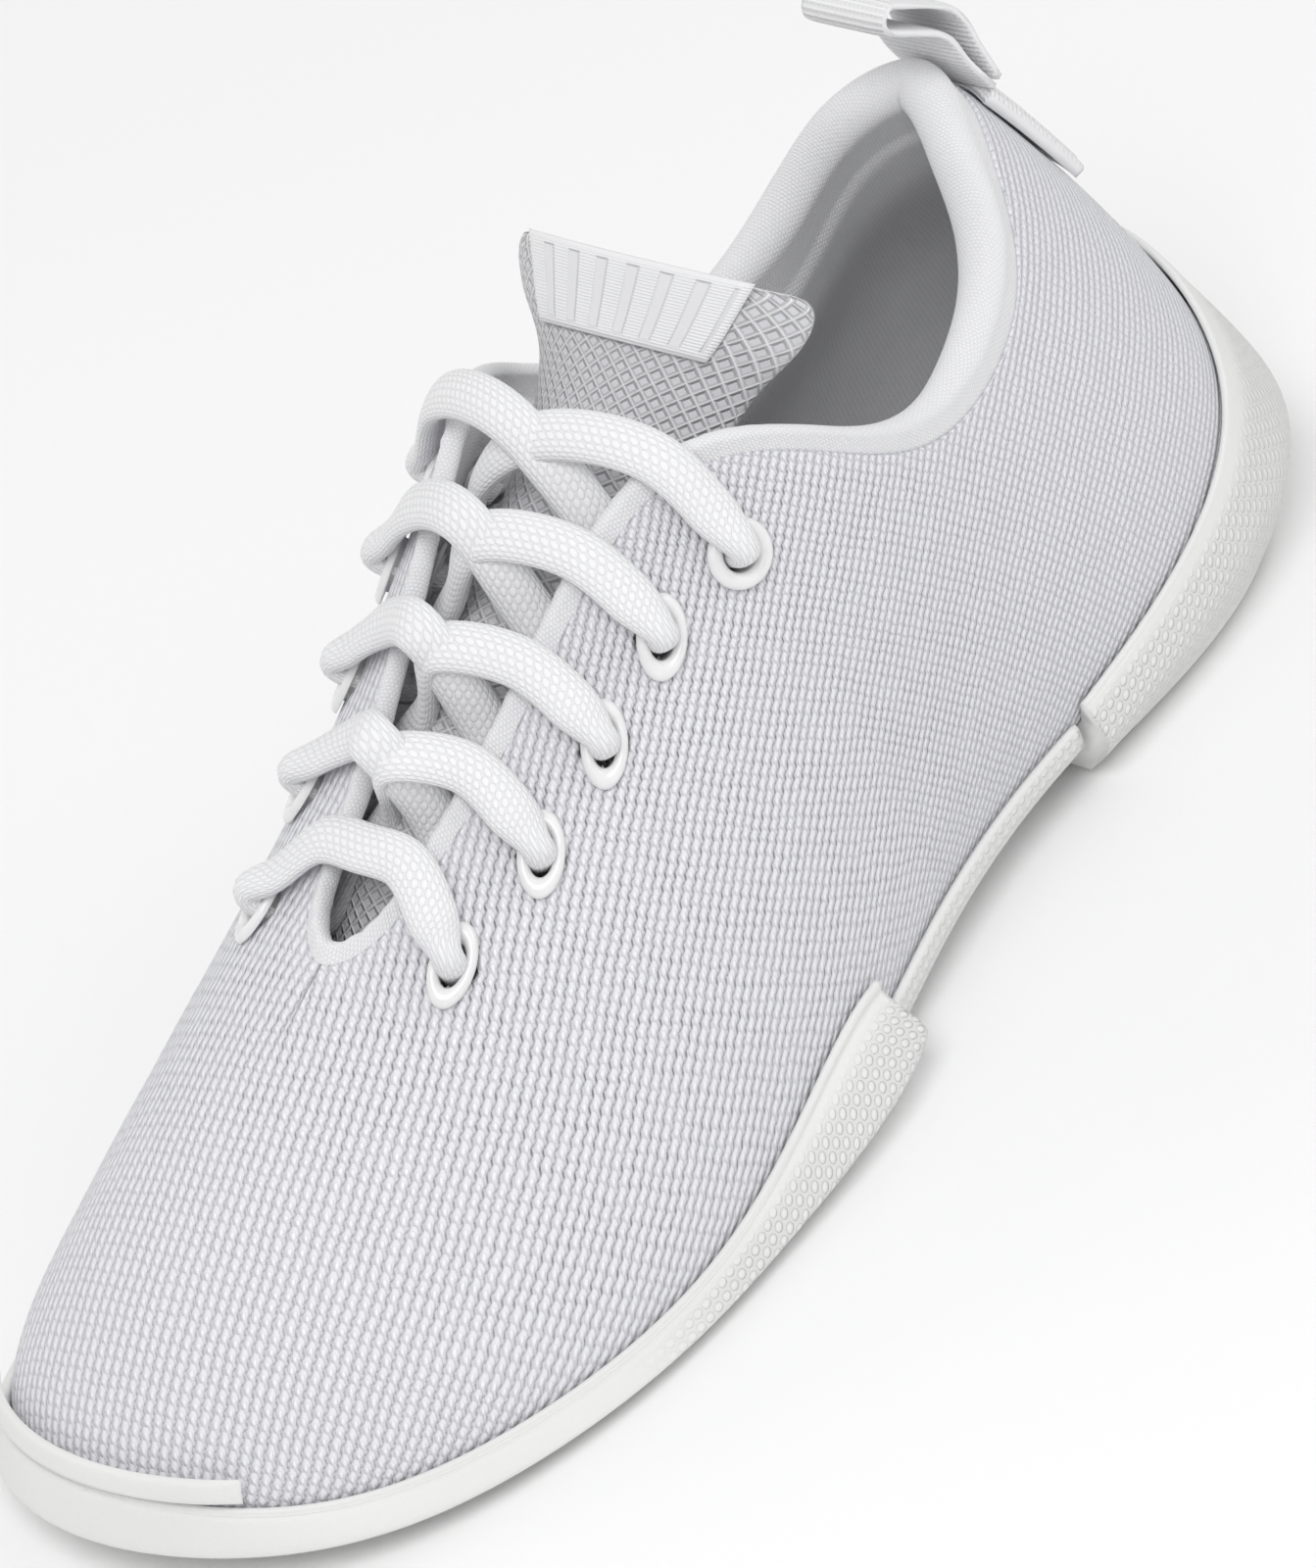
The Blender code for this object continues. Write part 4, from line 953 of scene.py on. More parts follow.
behind_knit = KNIT + 1.5 * GAP
stiff = stiffener_finish()
puff = layered("toe_puff_sheet", np.linspace(8.667, 11.333, 70), np.linspace(0.06, 0.46, 30),
               behind_knit, STIFFENER, stiff, "stiffener", "toe_puff")
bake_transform(puff)
counter = layered("heel_counter_sheet", np.linspace(-2.333, 2.333, 90), np.linspace(0.06, 0.46, 30),
                  behind_knit, STIFFENER, stiff, "stiffener", "heel_counter")
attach(counter, "shoe")
tape = tape_finish()
for side, label, first in ((1, "lateral", 4.333), (-1, "medial", 10.667)):
    s, v = np.linspace(first, first + 5, 110), np.linspace(0.76, 1.0, 26)
    stay = layered(f"stay_{label}", s, v, behind_knit, STIFFENER, tape, "stay_tape",
                   f"eyestay_{label}", punched(s, v, HOLE))
    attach(stay, "shoe")

s, v = np.linspace(-3.667, 3.667, 150), np.linspace(0.60, 1.0, 24)
outer = wall(s[:, None], v[None, :], KNIT + GAP)
inner = wall(s[:, None], v[None, :], stack_depth(s[:, None], v[None, :]) - 2 * GAP)
foam = piece("collar_foam", grid_mesh("collar_foam", np.concatenate([outer, inner[:, ::-1]], 1),
                                      wrap=(False, True), caps=True),
             foam_finish(), "foam", "collar_padding")
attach(foam, "shoe")

# ------------------------------------------------------------------ tongue
# Foam between an open, diamond-patterned spacer mesh and a tricot back. Its edge is pressed thin
# and sewn, its top corners are round, and the crossing lace sinks into it.
TONGUE, TONGUE_LINING = 0.0050, 0.0008
TONGUE_ROWS = (
    (190, 45.5, 12, 3), (176, 47.5, 17, 7), (158, 57, 20, 12.5), (139, 68, 21, 14.5),
    (120, 78.5, 20, 12.2), (107, 87.1, 17.5, 8.3), (97, 95, 20, 8.5), (91, 100.5, 26, 8),
    (86, 106, 31, 8.5),
)
TOP_CORNER, TONGUE_PUFF = 0.007, 0.0040  # corner radius, swelling under the lace


def through(spots, t):
    """Smooth curve through the spots, one for each whole number of t, with the tangent at
    each spot taken from its neighbours."""
    spots, t = np.asarray(spots, float), np.asarray(t, float)
    slope = np.gradient(spots, axis=0)
    k = np.clip(np.floor(t).astype(int), 0, len(spots) - 2)
    f = (t - k).reshape(t.shape + (1,) * (spots.ndim - 1))
    return hermite(spots[k], slope[k], spots[k + 1], slope[k + 1], f)


def tongue_line(t):
    """Row t of the tongue: x, z, half width and drop, read smoothly between the rows."""
    return through(np.array(TONGUE_ROWS, float) * MM, t)


def tongue_face(t, f):
    """Points and outward normals of the tongue's outer face: f runs across it from -1 to 1,
    and the face falls from its middle line by its drop times f squared."""
    t, f = np.broadcast_arrays(t, f)
    x, z, half, drop = np.moveaxis(tongue_line(t), -1, 0)
    ahead = tongue_line(t + 0.02) - tongue_line(t - 0.02)
    out = unit(np.stack([-ahead[..., 1], 0 * x, ahead[..., 0]], -1))
    out = out * np.sign(out[..., 2:])
    point = np.stack([x, half * f, z], -1) - out * (drop * f**2)[..., None]
    tilt = 2 * drop * f / half
    return point, unit(out + np.stack([0 * f, tilt, 0 * f], -1))


def corner_width(t, full):
    """Share of the half width that is left where the top corners are rounded."""
    middle = tongue_line(t)
    reach = run_of(middle[:, :2])
    left_over = reach[-1] - reach
    bite = np.clip(TOP_CORNER - left_over, 0, None)
    lost = TOP_CORNER - np.sqrt(np.clip(TOP_CORNER**2 - bite**2, 0, None))
    return full - 0.85 * lost / middle[:, 2]


def spacer_mesh():
    """Open diamond mesh: thick white strands crossing over cells painted grey as shade, with
    deeper painted shade in the holes.
    """
    finish = Finish("tongue_mesh", Roughness=0.6, Sheen_Weight=0.25, Sheen_Roughness=0.5)
    along, across = finish.uv("cloth")
    a = (along / 0.0025 + across / 0.0030) * math.pi
    b = (along / 0.0025 - across / 0.0030) * math.pi
    cell = a.sine().size().smaller(b.sine().size())
    hole = cell.step(0.42, 0.72)
    strand = 1.0 - cell.step(0.0, 0.55)
    fibre = finish.noise(4000.0, 1.0)
    # Painted shade: grey in the cells between the strands and a deeper grey in the holes.
    body = finish.blend(strand, (0.72, 0.72, 0.74), (0.86, 0.86, 0.87))
    finish.set(Base_Color=finish.blend(hole * 0.45, body, (0.52, 0.52, 0.55)))
    return finish.bump(strand * 0.8 - hole * 0.6 + fibre * 0.2, 0.0005)


def pillow(t, f, low, high, half, edge):
    """Closed sheet between two depths below the tongue's face, rounded towards its edges."""
    share = corner_width(t, half)[:, None]
    point, normal = tongue_face(t[:, None], f[None, :] * share)
    reach = run_of(point[:, len(f) // 2])
    end = np.minimum(reach, reach[-1] - reach)[:, None]
    side_fall = (1 - np.abs(f[None, :]) ** 7) ** 0.5
    fall = edge + (1 - edge) * side_fall * np.clip(end / 0.004, 0, 1) ** 0.5
    middle, thick = (low + high) / 2, (high - low) / 2
    return (point - normal * (middle - thick * fall)[..., None],
            point - normal * (middle + thick * fall)[..., None])


def pressed(points, depth_limit):
    """How far the lace presses in at each point: what is missing of its depth and a little."""
    near = spine[::2]
    gap = np.full(points.shape[:2], 1.0)
    for k in range(0, len(near), 60):
        part = near[k:k + 60]
        away = np.linalg.norm(points[:, :, None] - part[None, None], axis=3).min(2)
        gap = np.minimum(gap, away)
    return np.clip(0.0040 - gap, 0, depth_limit)


TONGUE_T = np.linspace(0, len(TONGUE_ROWS) - 1, 190)
TONGUE_F = np.linspace(-1, 1, 90)
top, under = pillow(TONGUE_T, TONGUE_F, 0.0, TONGUE, 1.0, 0.30)
normal = tongue_face(TONGUE_T[:, None], TONGUE_F[None, :])[1]
bulge = swell(top, 0.00035, (0.026, 0.015), 11) * (1 - TONGUE_F**2)[None, :]
laced = ramp(TONGUE_T, 1.0, 2.0) * (1 - ramp(TONGUE_T, 4.6, 5.6))
bulge = bulge + TONGUE_PUFF * laced[:, None] * ((1 - TONGUE_F**2) ** 2)[None, :]
top = top + normal * (bulge - pressed(top, 0.0014))[..., None]
tongue_points = np.concatenate([top, under[:, ::-1]], 1)
cloth = closed(tongue_points)
tongue_uv = paired(run_of(cloth[:, 45:46])[:, :1], run_of(cloth[:120].mean(0)[None], 1))
tongue = rolled_piece("tongue", tongue_points, tongue_uv, spacer_mesh(), "tongue_mesh",
                      "tongue_body")
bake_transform(tongue)

top, under = pillow(TONGUE_T[::2], TONGUE_F[::2], TONGUE + GAP, TONGUE + GAP + TONGUE_LINING,
                    0.96, 0.5)
points = np.concatenate([top, under[:, ::-1]], 1)
cloth = closed(points)
back_uv = paired(run_of(cloth[:, 22:23])[:, :1], run_of(cloth[:60].mean(0)[None], 1))
tongue_back = rolled_piece("tongue_back", points, back_uv, tricot(), "lining", "tongue_lining")
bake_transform(tongue_back)

# ------------------------------------------------------------------ tongue patch
# Plain embroidered panel near the top of the tongue: upright satin-stitched bars in white
# rayon inside a corded frame.
PATCH_ROW, PATCH_HALF, PATCH_LENGTH, PATCH_THICK = 7.3, 0.0150, 0.0120, 0.0010


def satin():
    """Satin stitch: close, glossy parallel threads in raised bars, with sunk ground between; the
    ground and the dips between threads carry painted shade.
    """
    finish = Finish("satin_stitch", Roughness=0.45, Sheen_Weight=0.3)
    along, across = finish.uv("cloth")
    bar = ((across / 0.0042).fraction() - 0.5).size()
    raised = 1.0 - bar.step(0.26, 0.36)
    rim = (along / PATCH_LENGTH - 0.5).size().step(0.38, 0.42).larger(
        (across / (2 * PATCH_HALF) - 0.5).size().step(0.455, 0.475))
    raised = raised.larger(rim)
    thread = ((along * (2 * math.pi / 0.00045)).sine() * 0.5 + 0.5)
    # Painted shade: the sunk ground and the dips between threads are coloured a deeper grey.
    finish.set(Base_Color=finish.blend(raised * (0.6 + thread * 0.4), (0.76, 0.76, 0.78),
                                       (0.86, 0.86, 0.87)), Roughness=0.6 - raised * 0.2)
    return finish.bump(raised * 0.8 + thread * raised * 0.25, 0.0003)


per_row = np.linalg.norm(np.diff(tongue_line(np.array([PATCH_ROW - 0.5, PATCH_ROW + 0.5]))
                                 [:, :2], axis=0))
t = np.linspace(PATCH_ROW - PATCH_LENGTH / per_row / 2, PATCH_ROW + PATCH_LENGTH / per_row / 2, 50)
f = np.linspace(-1, 1, 110)
share = PATCH_HALF / tongue_line(t[:1])[0][2]
point, normal = tongue_face(t[:, None], f[None, :] * share)
edge = np.minimum(1 - np.abs(f)[None, :], (1 - np.abs(np.linspace(-1, 1, 50)))[:, None] * 0.4)
height = GAP + PATCH_THICK * (0.35 + 0.65 * np.clip(edge / 0.05, 0, 1) ** 0.5)
patch_top = point + normal * height[..., None]
points = np.concatenate([patch_top, (point + normal * GAP)[:, ::-1]], 1)
there = np.linspace(0, 2 * PATCH_HALF, 110)
patch_uv = paired(np.linspace(0, PATCH_LENGTH, 50)[:, None],
                  np.concatenate([there, np.linspace(2 * PATCH_HALF, 0, 110), [0]])[None, :])
patch = rolled_piece("embroidered_panel", points, patch_uv, satin(), "patch", "tongue_patch")
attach(patch, "tongue_top")

# ------------------------------------------------------------------ board and footbed
# A stitched fabric board closes the upper below; on it lies a moulded foam footbed covered with
# grey brushed cloth. Both bend at the ball of the foot.
BOARD, INSOLE = 0.0012, 0.0028


def feather(s, out, height=None):
    """Points out from the feather edge in plan, at the given height above the ground."""
    along, _ = wall_slopes(s, np.zeros_like(s))
    flat = unit(np.stack([-along[..., 1], along[..., 0], 0 * along[..., 0]], -1))
    point = wall_face(s, np.zeros_like(s)) + flat * np.asarray(out)[..., None]
    if height is not None:
        point[..., 2] = height
    return point


def edge_ring(s, inset, lift):
    """Edge of a plate under the foot, inside the feather edge and lifted from it."""
    point = feather(s, np.full_like(s, -inset))
    point[..., 2] += lift
    return point


def across(a, b, count):
    """Straight lines between facing points, ends included."""
    f = np.linspace(0, 1, count)[:, None]
    return a[:, None] + (b - a)[:, None] * f


def plate(name, s, low, high, finish, slot, node, columns=24, dish=0.0, caps=False):
    """Plate under the foot between two edge rings, facing sides joined by straight lines."""
    bottom = across(low(s), low(PAIR - s), columns)
    top = across(high(s), high(PAIR - s), columns)
    top[..., 2] -= dish * np.sin(np.pi * np.linspace(0, 1, columns))[None, :]
    points = np.concatenate([bottom, top[:, ::-1]], 1)
    uv = closed(points)[..., :2]
    mesh = grid_mesh(name, points, {"cloth": uv}, (False, True), caps=caps, weld=True)
    return piece(name, mesh, finish, slot, node)


def board_finish():
    """Non-woven board with rows of stitching."""
    finish = Finish("board_cloth", Roughness=0.9)
    fibre = finish.noise(1800.0, 4.0)
    finish.set(Base_Color=finish.blend(fibre, (0.68, 0.68, 0.68), (0.84, 0.84, 0.84)))
    return finish.bump(fibre, 0.00015)


def footbed_finish():
    """Grey brushed cloth over foam: short nap and a faint twill."""
    finish = Finish("footbed_cloth", Roughness=0.85, Sheen_Weight=0.3)
    along, aside = finish.uv("cloth")
    twill = ((along + aside) * (2 * math.pi / 0.0011)).sine() * 0.5 + 0.5
    nap = finish.noise(1500.0, 3.0)
    finish.set(Base_Color=finish.blend(nap * 0.7 + twill * 0.3, (0.44, 0.44, 0.46),
                                       (0.60, 0.60, 0.62)))
    return finish.bump(nap + twill * 0.4, 0.00015)


s = np.linspace(0, 10, 130)
board = plate("board", s, lambda s: edge_ring(s, KNIT + 1.5 * GAP, 0.0),
              lambda s: edge_ring(s, KNIT + 1.5 * GAP, BOARD), board_finish(), "board",
              "strobel_board")
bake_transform(board)
inset = KNIT + STIFFENER + LINING + 6 * GAP
footbed = plate("footbed", s, lambda s: edge_ring(s, inset, BOARD + GAP),
                lambda s: edge_ring(s, inset, BOARD + GAP + INSOLE), footbed_finish(),
                "insole_foam", "insole", dish=0.0004)
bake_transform(footbed)

# ------------------------------------------------------------------ moulded sole units
# Two cups of white foam rubber, one under the heel and one under the forefoot, with nothing but
# a thin strip between them. Their sides are moulded with fine rows of beads and flow lines.
PAD = 0.0012
SOLE_LIP = 0.0012
LAST_LENGTH, TOE_SPRING, HEEL_BEVEL = 0.248, 0.0045, 0.0030
HEEL_UNIT_END, FORE_UNIT_START = 2.70, 4.80
# v of the top edge, ground edge out, widest line out, its height above the feather (mm).
SOLE = (
    (0.38, -1.0, 9.5, 0.0), (0.28, 0.0, 7.0, 1.5), (0.15, 0.0, 5.0, 0.5), (0.05, -1.5, 4.0, -3.0),
    (0.05, -1.0, 3.0, -1.0), (0.15, 3.0, 9.0, 2.0), (0.085, 3.5, 6.0, 0.0), (0.05, 2.5, 5.0, -0.5),
    (0.05, 2.0, 5.0, -1.0), (0.06, 2.0, 5.0, -1.5), (0.08, 2.0, 5.0, -2.0), (0.07, 2.0, 5.0, -2.0),
    (0.05, 2.0, 5.0, -1.0), (0.05, 2.5, 5.0, -0.5), (0.08, 2.5, 5.5, 0.0), (0.14, 2.5, 7.0, 1.5),
    (0.05, -1.0, 3.0, -1.0), (0.05, -1.5, 4.0, -3.0), (0.15, 0.0, 5.0, 0.5), (0.28, 0.0, 7.0, 1.5),
)
BEAD_PITCH, BEAD_ROW = 0.0020, 0.0016
sole_rows = np.array(SOLE, float) * np.array([1, MM, MM, MM])


def ground(x):
    """Height of the ground line: flat, with a toe spring and a bevel at the heel."""
    toe, heel = LAST_LENGTH * 0.80, LAST_LENGTH * 0.045
    rise = np.clip((x - toe) / (LAST_LENGTH - toe), 0, None) ** 2 * TOE_SPRING
    return rise + np.clip((heel - x) / (2 * heel), 0, 1.5) ** 2 * HEEL_BEVEL


def sole_controls(s):
    """Lines that a unit's side passes through: top edge, under it, widest, below it, ground."""
    lip, ground_out, wide_out, wide_up = np.moveaxis(ring_spline(sole_rows, s), -1, 0)
    seat = wall_face(s, 0.0)
    edge = wall(s, lip, -(GAP + SOLE_LIP))
    edge_low = wall(s, lip * 0.85, -(GAP + SOLE_LIP * 1.5))
    wide = feather(s, wide_out, seat[..., 2] + wide_up)
    foot = feather(s, ground_out)
    foot[..., 2] = ground(foot[..., 0]) + PAD + GAP
    low = (wide + foot) / 2 + (wide - foot) * np.array([0.2, 0.2, 0])
    return lip, np.stack([edge, edge_low, wide, low, foot], 1)


def sole_side(s, steps=34):
    """Section of one side of a unit, from the middle of the seat over the lip to the ground:
    along the upper, round the lip and down a smooth curve through the control lines."""
    lip, controls = sole_controls(s)
    corner = wall(s, 0.0, -GAP)
    corner[:, 2] = wall_face(s, 0.0)[:, 2] - GAP
    rise = np.linspace(0, 1, 9)[1:]
    inner = wall(s[:, None], lip[:, None] * rise, -GAP)
    normal, up = wall_normal(s, lip), wall_slopes(s, lip)[1]
    bend = np.radians(np.linspace(180, 0, 8))[1:-1]
    middle = wall(s, lip, -(GAP + SOLE_LIP / 2))
    crown = (middle[:, None] + normal[:, None] * (SOLE_LIP / 2 * np.cos(bend))[None, :, None]
             + up[:, None] * (SOLE_LIP / 2 * np.sin(bend))[None, :, None])
    side = through(controls.swapaxes(0, 1), np.linspace(0, 4, steps)).swapaxes(0, 1)
    return np.concatenate([corner[:, None], inner, crown, side], 1), len(inner[0]) + 7


def outward(points):
    """Normals of a grid of points, along the rows and columns, pointing away from its middle."""
    a, b = np.gradient(points, axis=0), np.gradient(points, axis=1)
    normal = np.cross(a, b)
    normal = normal / (np.linalg.norm(normal, axis=-1, keepdims=True) + 1e-12)
    flip = (normal * (points - points.reshape(-1, 3).mean(0))).sum() < 0
    return -normal if flip else normal


def groove(height, line, width, depth):
    """Depth of a moulded line at the given height."""
    return depth * np.exp(-((height - line) / width) ** 2)


def sole_unit(name, s, caps, finish, node, lines, textured):
    """Cupped unit: the sections of the two sides joined across seat and ground, with the given
    grooves (height, width, depth) moulded into its sides and beads where textured says."""
    halves, grips, reaches = [], [], []
    for station in (s, PAIR - s):
        side, first = sole_side(station)
        face = side[:, first:]
        share = np.linspace(0, 1, face.shape[1])[None, :]
        sunk = np.zeros(face.shape[:2])
        for line, width, depth in lines:
            sunk = sunk + groove(share, line, width, depth)
        face = face - outward(face) * sunk[..., None]
        side = np.concatenate([side[:, :first], face], 1)
        grip = np.zeros(side.shape[:2])
        grip[:, first:] = textured(station[:, None], share)
        halves.append(side)
        grips.append(grip)
        reaches.append(run_of(sole_controls(station)[1][:, 2]))
    bottom = across(halves[0][:, -1], halves[1][:, -1], 20)[:, 1:-1]
    seat = across(halves[1][:, 0], halves[0][:, 0], 20)[:, 1:-1]
    points = np.concatenate([halves[0], bottom, halves[1][:, ::-1], seat], 1)
    flat = np.zeros(bottom.shape[:2])
    grip = np.concatenate([grips[0], flat, grips[1][:, ::-1], flat], 1)
    columns = halves[0].shape[1]
    along = np.concatenate([np.repeat(reaches[0][:, None], columns, 1), bottom[..., 0],
                            np.repeat(-reaches[1][:, None], columns, 1), seat[..., 0],
                            reaches[0][:, None]], 1)
    down = np.concatenate([run_of(halves[0], 1), bottom[..., 1],
                           run_of(halves[1], 1)[:, ::-1], seat[..., 1],
                           np.zeros((len(s), 1))], 1)
    mesh = grid_mesh(name, points, {"cloth": np.stack([along, down], -1)}, (False, True),
                     caps=caps, weld=True, given={"beaded": grip})
    return piece(name, mesh, finish, "sole", node)


def foam_rubber(name, painted_shade=0.0):
    """Injection-moulded foam rubber: satin skin, faint flow marks, and rows of low beads with
    painted shade in the gaps between them; the second argument lowers the whole tone as painted
    shade.
    """
    finish = Finish(name, Roughness=0.5)
    along, down = finish.uv("cloth")
    beaded = finish.given("beaded")
    bead = beads(along, down, BEAD_PITCH, BEAD_ROW, 0.0, (0.80, 0.80), 0.5)
    skin = finish.noise(1400.0, 3.0)
    flow = finish.noise(25.0, 2.0)
    # The second argument lowers the tone of a whole piece as painted shade.
    shade = skin * 0.3 + flow * 0.7 - painted_shade
    body = finish.blend(shade.clamp(), (0.72, 0.72, 0.71), (0.83, 0.83, 0.82))
    # Painted shade: the gaps between the beads are coloured a deeper grey where the side is beaded.
    finish.set(Base_Color=finish.blend(beaded * (1.0 - bead.step(0.0, 0.6)) * 0.35, body,
                                       (0.52, 0.52, 0.52)),
               Roughness=0.42 + skin * 0.2)
    return finish.bump(bead * beaded + skin * 0.08, 0.00035)


def heel_texture(s, share):
    """Beads over the whole flank of the heel, but not on its rim or its foot."""
    return ramp(share, 0.22, 0.34) * (1 - ramp(share, 0.80, 0.90)) * np.ones_like(s)


def wing_texture(s, share):
    """Beads on the two wings behind the ball of the foot, smooth in front of them."""
    wing = 1 - ramp(np.minimum(s, PAIR - s), 6.2, 7.2)
    return ramp(share, 0.24, 0.36) * (1 - ramp(share, 0.74, 0.86)) * wing


sole_rubber = foam_rubber("sole_rubber")
heel = sole_unit("heel_unit", np.linspace(0, HEEL_UNIT_END, 120), True, sole_rubber, "heel_sole",
                 ((0.90, 0.02, 0.0004),), heel_texture)
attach(heel, "shoe")
forefoot = sole_unit("forefoot_unit", np.linspace(FORE_UNIT_START, 10, 190), True, sole_rubber,
                     "forefoot_sole", ((0.88, 0.025, 0.0005), (0.20, 0.03, 0.0002)), wing_texture)
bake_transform(forefoot)

# ------------------------------------------------------------------ arch strip
# Thin strip of the same rubber that carries the upper between the two units. It turns up a
# little along the knit and is cemented to it.
SHANK, ARCH_LIP, ARCH_GAP = 0.0024, 0.035, 0.06

s = np.linspace(HEEL_UNIT_END + ARCH_GAP, FORE_UNIT_START - ARCH_GAP, 70)
halves = []
for station in (s, PAIR - s):
    seat_z = wall_face(station, 0.0)[:, 2]
    corner = wall(station, 0.0, -GAP)
    corner[:, 2] = seat_z - GAP
    foot = feather(station, np.full_like(station, GAP + SOLE_LIP), seat_z - GAP - SHANK)
    lip_in = wall(station, ARCH_LIP, -GAP)
    lip_out = wall(station, ARCH_LIP, -(GAP + SOLE_LIP))
    up = wall_slopes(station, ARCH_LIP)[1]
    crown = (lip_in + lip_out) / 2 + up * 0.0004
    controls = np.stack([lip_out, (lip_out + foot) / 2 + 0.0003 * unit(lip_out - lip_in), foot], 1)
    side = through(controls.swapaxes(0, 1), np.linspace(0, 2, 14)).swapaxes(0, 1)
    halves.append(np.concatenate([corner[:, None], lip_in[:, None], crown[:, None], side], 1))
bottom = across(halves[0][:, -1], halves[1][:, -1], 20)[:, 1:-1]
seat = across(halves[1][:, 0], halves[0][:, 0], 20)[:, 1:-1]
points = np.concatenate([halves[0], bottom, halves[1][:, ::-1], seat], 1)
whole = closed(points)
reach = run_of(whole[:, 3])
strip_uv = paired(reach[:, None], run_of(whole, 1))
grip = np.zeros(points.shape[:2])
grip[:, 4:16] = 0.6
# The same rubber coloured a little deeper: painted shade under the arch.
strip = rolled_piece("arch_band", points, strip_uv, foam_rubber("arch_rubber_shaded", 0.05), "sole",
                     "arch_strip", beaded=grip)
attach(strip, "shoe")

# ------------------------------------------------------------------ toe bumper
# Raised band moulded round the front of the toe, smooth, with rounded edges.
s, v = np.linspace(9.0, 11.333, 110), np.linspace(0.095, 0.155, 16)
section = (1 - np.abs(np.linspace(-1, 1, 16)) ** 4) ** 0.5
ends = np.clip(np.minimum(s - s[0], s[-1] - s) / 0.25, 0, 1) ** 0.5
low_face = wall(s[:, None], v[None, :], -(GAP + SOLE_LIP + 0.0001))
height = GAP + SOLE_LIP + 0.0002 + (SOLE_LIP - 0.0002) * section[None, :] * ends[:, None]
high_face = wall(s[:, None], v[None, :], -height)
points = np.concatenate([high_face, low_face[:, ::-1]], 1)
whole = closed(points)
bumper_uv = paired(run_of(whole[:, 8])[:, None], run_of(whole, 1))
bumper = rolled_piece("toe_band", points, bumper_uv, sole_rubber, "sole", "toe_bumper",
                      beaded=np.zeros(points.shape[:2]))
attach(bumper, "toe")

# ------------------------------------------------------------------ outsole pads
# Thin pads of harder rubber under both units, moulded with rows of studs that grip the mat.
PAD_INSET = 0.0045


def pad_ring(s, lift):
    """Edge of a pad: inside the sole's ground edge, standing on the ground."""
    point = feather(s, ring_spline(sole_rows, s)[..., 1] - PAD_INSET)
    point[..., 2] = ground(point[..., 0]) + lift
    return point


def grip_rubber():
    """Harder rubber: close diamond studs worn smooth on top, with painted shade in the grooves
    between them.
    """
    finish = Finish("grip_rubber", Roughness=0.6)
    along, aside = finish.uv("cloth")
    stud = beads(along + aside, along - aside, 0.0042, 0.0042, 0.0, (0.86, 0.86), 0.0)
    scuff = finish.noise(300.0, 4.0)
    body = finish.blend(scuff, (0.70, 0.70, 0.69), (0.82, 0.82, 0.81))
    # Painted shade: the grooves between the studs are coloured a deeper grey.
    finish.set(Base_Color=finish.blend(1.0 - stud.step(0.0, 0.4), body, (0.56, 0.56, 0.55)),
               Roughness=0.5 + scuff * 0.25)
    return finish.bump(stud.step(0.0, 0.7) + scuff * 0.1, 0.0006)


grip_finish = grip_rubber()
heel_pad = plate("heel_pad", np.linspace(0.333, 2.667, 60), lambda s: pad_ring(s, 0),
                 lambda s: pad_ring(s, PAD), grip_finish, "outsole", "heel_outsole_pad", caps=True)
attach(heel_pad, "shoe")
toe_pad = plate("forefoot_pad", np.linspace(5.333, 10, 110), lambda s: pad_ring(s, 0),
                lambda s: pad_ring(s, PAD), grip_finish, "outsole", "forefoot_outsole_pad",
                caps=True)
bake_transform(toe_pad)

# ------------------------------------------------------------------ heel pull tab
# A length of ribbed nylon webbing: both ends are sewn flat down the back of the heel and the
# fold stands up as a finger loop that leans over the collar.
TAB_WIDTH, TAB_WALL, TAB_FREE = 0.0150, 0.0013, 0.0280
TAB_LOW, TAB_ROOT = 0.60, 0.93
TAB_FOLD, TAB_SHARES, TAB_LEAN = 0.0012, (0.25, 0.30, 0.45), (0.78, 0, 0.62)


def webbing():
    """Ribbed nylon: cords across the tape, each wound with bright filament; a painted highlight
    on the cord tops and painted shade in the dips between them.
    """
    finish = Finish("tab_webbing", Roughness=0.38, Sheen_Weight=0.2)
    along, aside = finish.uv("cloth")
    rib = (along * (2 * math.pi / 0.0011)).sine() * 0.5 + 0.5
    wound = beads(aside, along, 0.0008, 0.0011, 0.3, (1.0, 1.0))
    cloud = finish.noise(120.0, 2.0)
    # Painted highlight and shade: lighter and glossier on the cord tops, deeper grey between them.
    finish.set(Base_Color=finish.blend(rib * 0.7 + cloud * 0.3, (0.74, 0.74, 0.75),
                                       (0.92, 0.92, 0.93)), Roughness=0.50 - rib * 0.2)
    return finish.bump(rib * 0.7 + wound * 0.3, 0.00022)


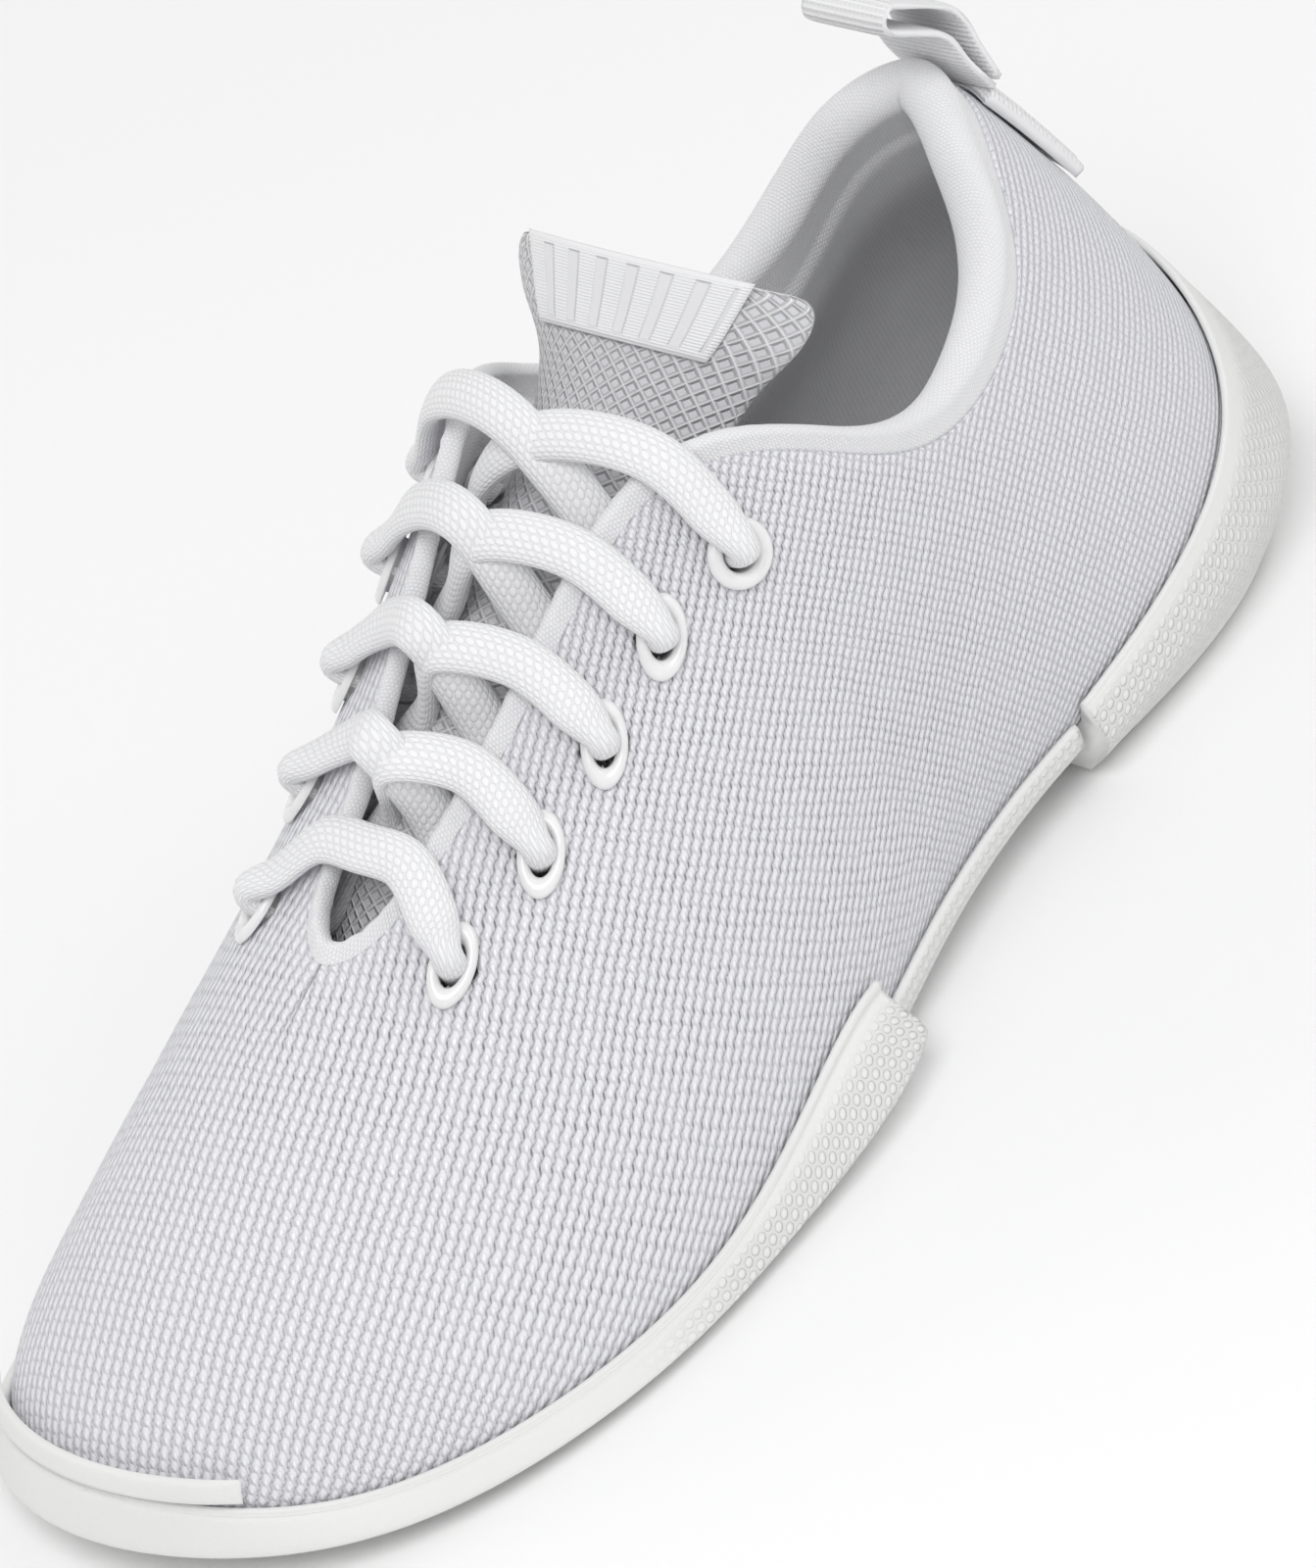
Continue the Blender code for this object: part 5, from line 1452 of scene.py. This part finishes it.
tab_cloth = webbing()
span = np.linalg.norm(wall_face(0.1, 0.8) - wall_face(-0.1, 0.8)) / 0.2
half = TAB_WIDTH / 2 / span
s, v = np.linspace(-half, half, 30), np.linspace(TAB_LOW, TAB_ROOT, 46)
worn = 1 - 0.35 * np.abs(np.linspace(-1, 1, 30))[:, None] ** 8
stitched = 1 - 0.22 * np.exp(-((np.abs(np.linspace(-1, 1, 30))[:, None] - 0.80) / 0.05) ** 2)
height = GAP + 2 * TAB_WALL * worn * stitched * np.ones((1, 46))
outer, inner = wall(s[:, None], v[None, :], -height), wall(s[:, None], v[None, :], -GAP)
points = np.concatenate([outer, inner[:, ::-1]], 1)
whole = closed(points)
tab_uv = paired(run_of(whole[15:16], 1), (s * span)[:, None])
tab_strip = rolled_piece("tab_strip", points, tab_uv, tab_cloth, "webbing", "pull_tab_strip")
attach(tab_strip, "shoe")

root, normal, rise, _ = seat_frame((0.0, TAB_ROOT))
low_share, middle_share, high_share = TAB_SHARES
spots = [root + normal * (2 * GAP + TAB_WALL) + rise * GAP]
spots.append(spots[0] + rise * low_share * TAB_FREE + normal * TAB_FOLD)
spots.append(spots[1] + unit(rise + np.array([0, 0, 0.5])) * middle_share * TAB_FREE)
spots.append(spots[2] + unit(np.array(TAB_LEAN)) * high_share * TAB_FREE)
path = through(spots, np.linspace(0, 3, 46))
ahead = unit(np.gradient(path, axis=0))
aside = unit(np.stack([-ahead[:, 2], 0 * ahead[:, 0], ahead[:, 0]], 1))
gape = GAP / 2 + TAB_FOLD * np.sin(np.linspace(0, np.pi * 0.6, len(path)))
bend = np.linspace(np.pi / 2, -np.pi / 2, 16)[1:-1, None]
cap = aside[-1] * np.sin(bend) + ahead[-1] * np.cos(bend)


def fold_line(away):
    """Line round the loop at a distance from its middle: up the back, over the fold, down."""
    return np.vstack([path + aside * (gape + away)[:, None],
                      path[-1] + cap * (gape[-1] + away), (path - aside * (gape + away)[:, None])
                      [::-1]])


y = np.linspace(-TAB_WIDTH / 2, TAB_WIDTH / 2, 26)
thin = 0.30 * np.abs(np.linspace(-1, 1, 26)) ** 8
rows = []
for offset, taper in zip(y, thin):
    ring = np.vstack([fold_line(TAB_WALL * (1 - taper / 2)),
                      fold_line(TAB_WALL * taper / 2)[::-1]])
    rows.append(ring + np.array([0, offset, 0]))
points = np.array(rows)
whole = closed(points)
loop_uv = paired(run_of(whole[13:14], 1), y[:, None])
tab_loop = rolled_piece("tab_loop", points, loop_uv, tab_cloth, "webbing", "pull_tab_loop")
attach(tab_loop, "pull_tab")
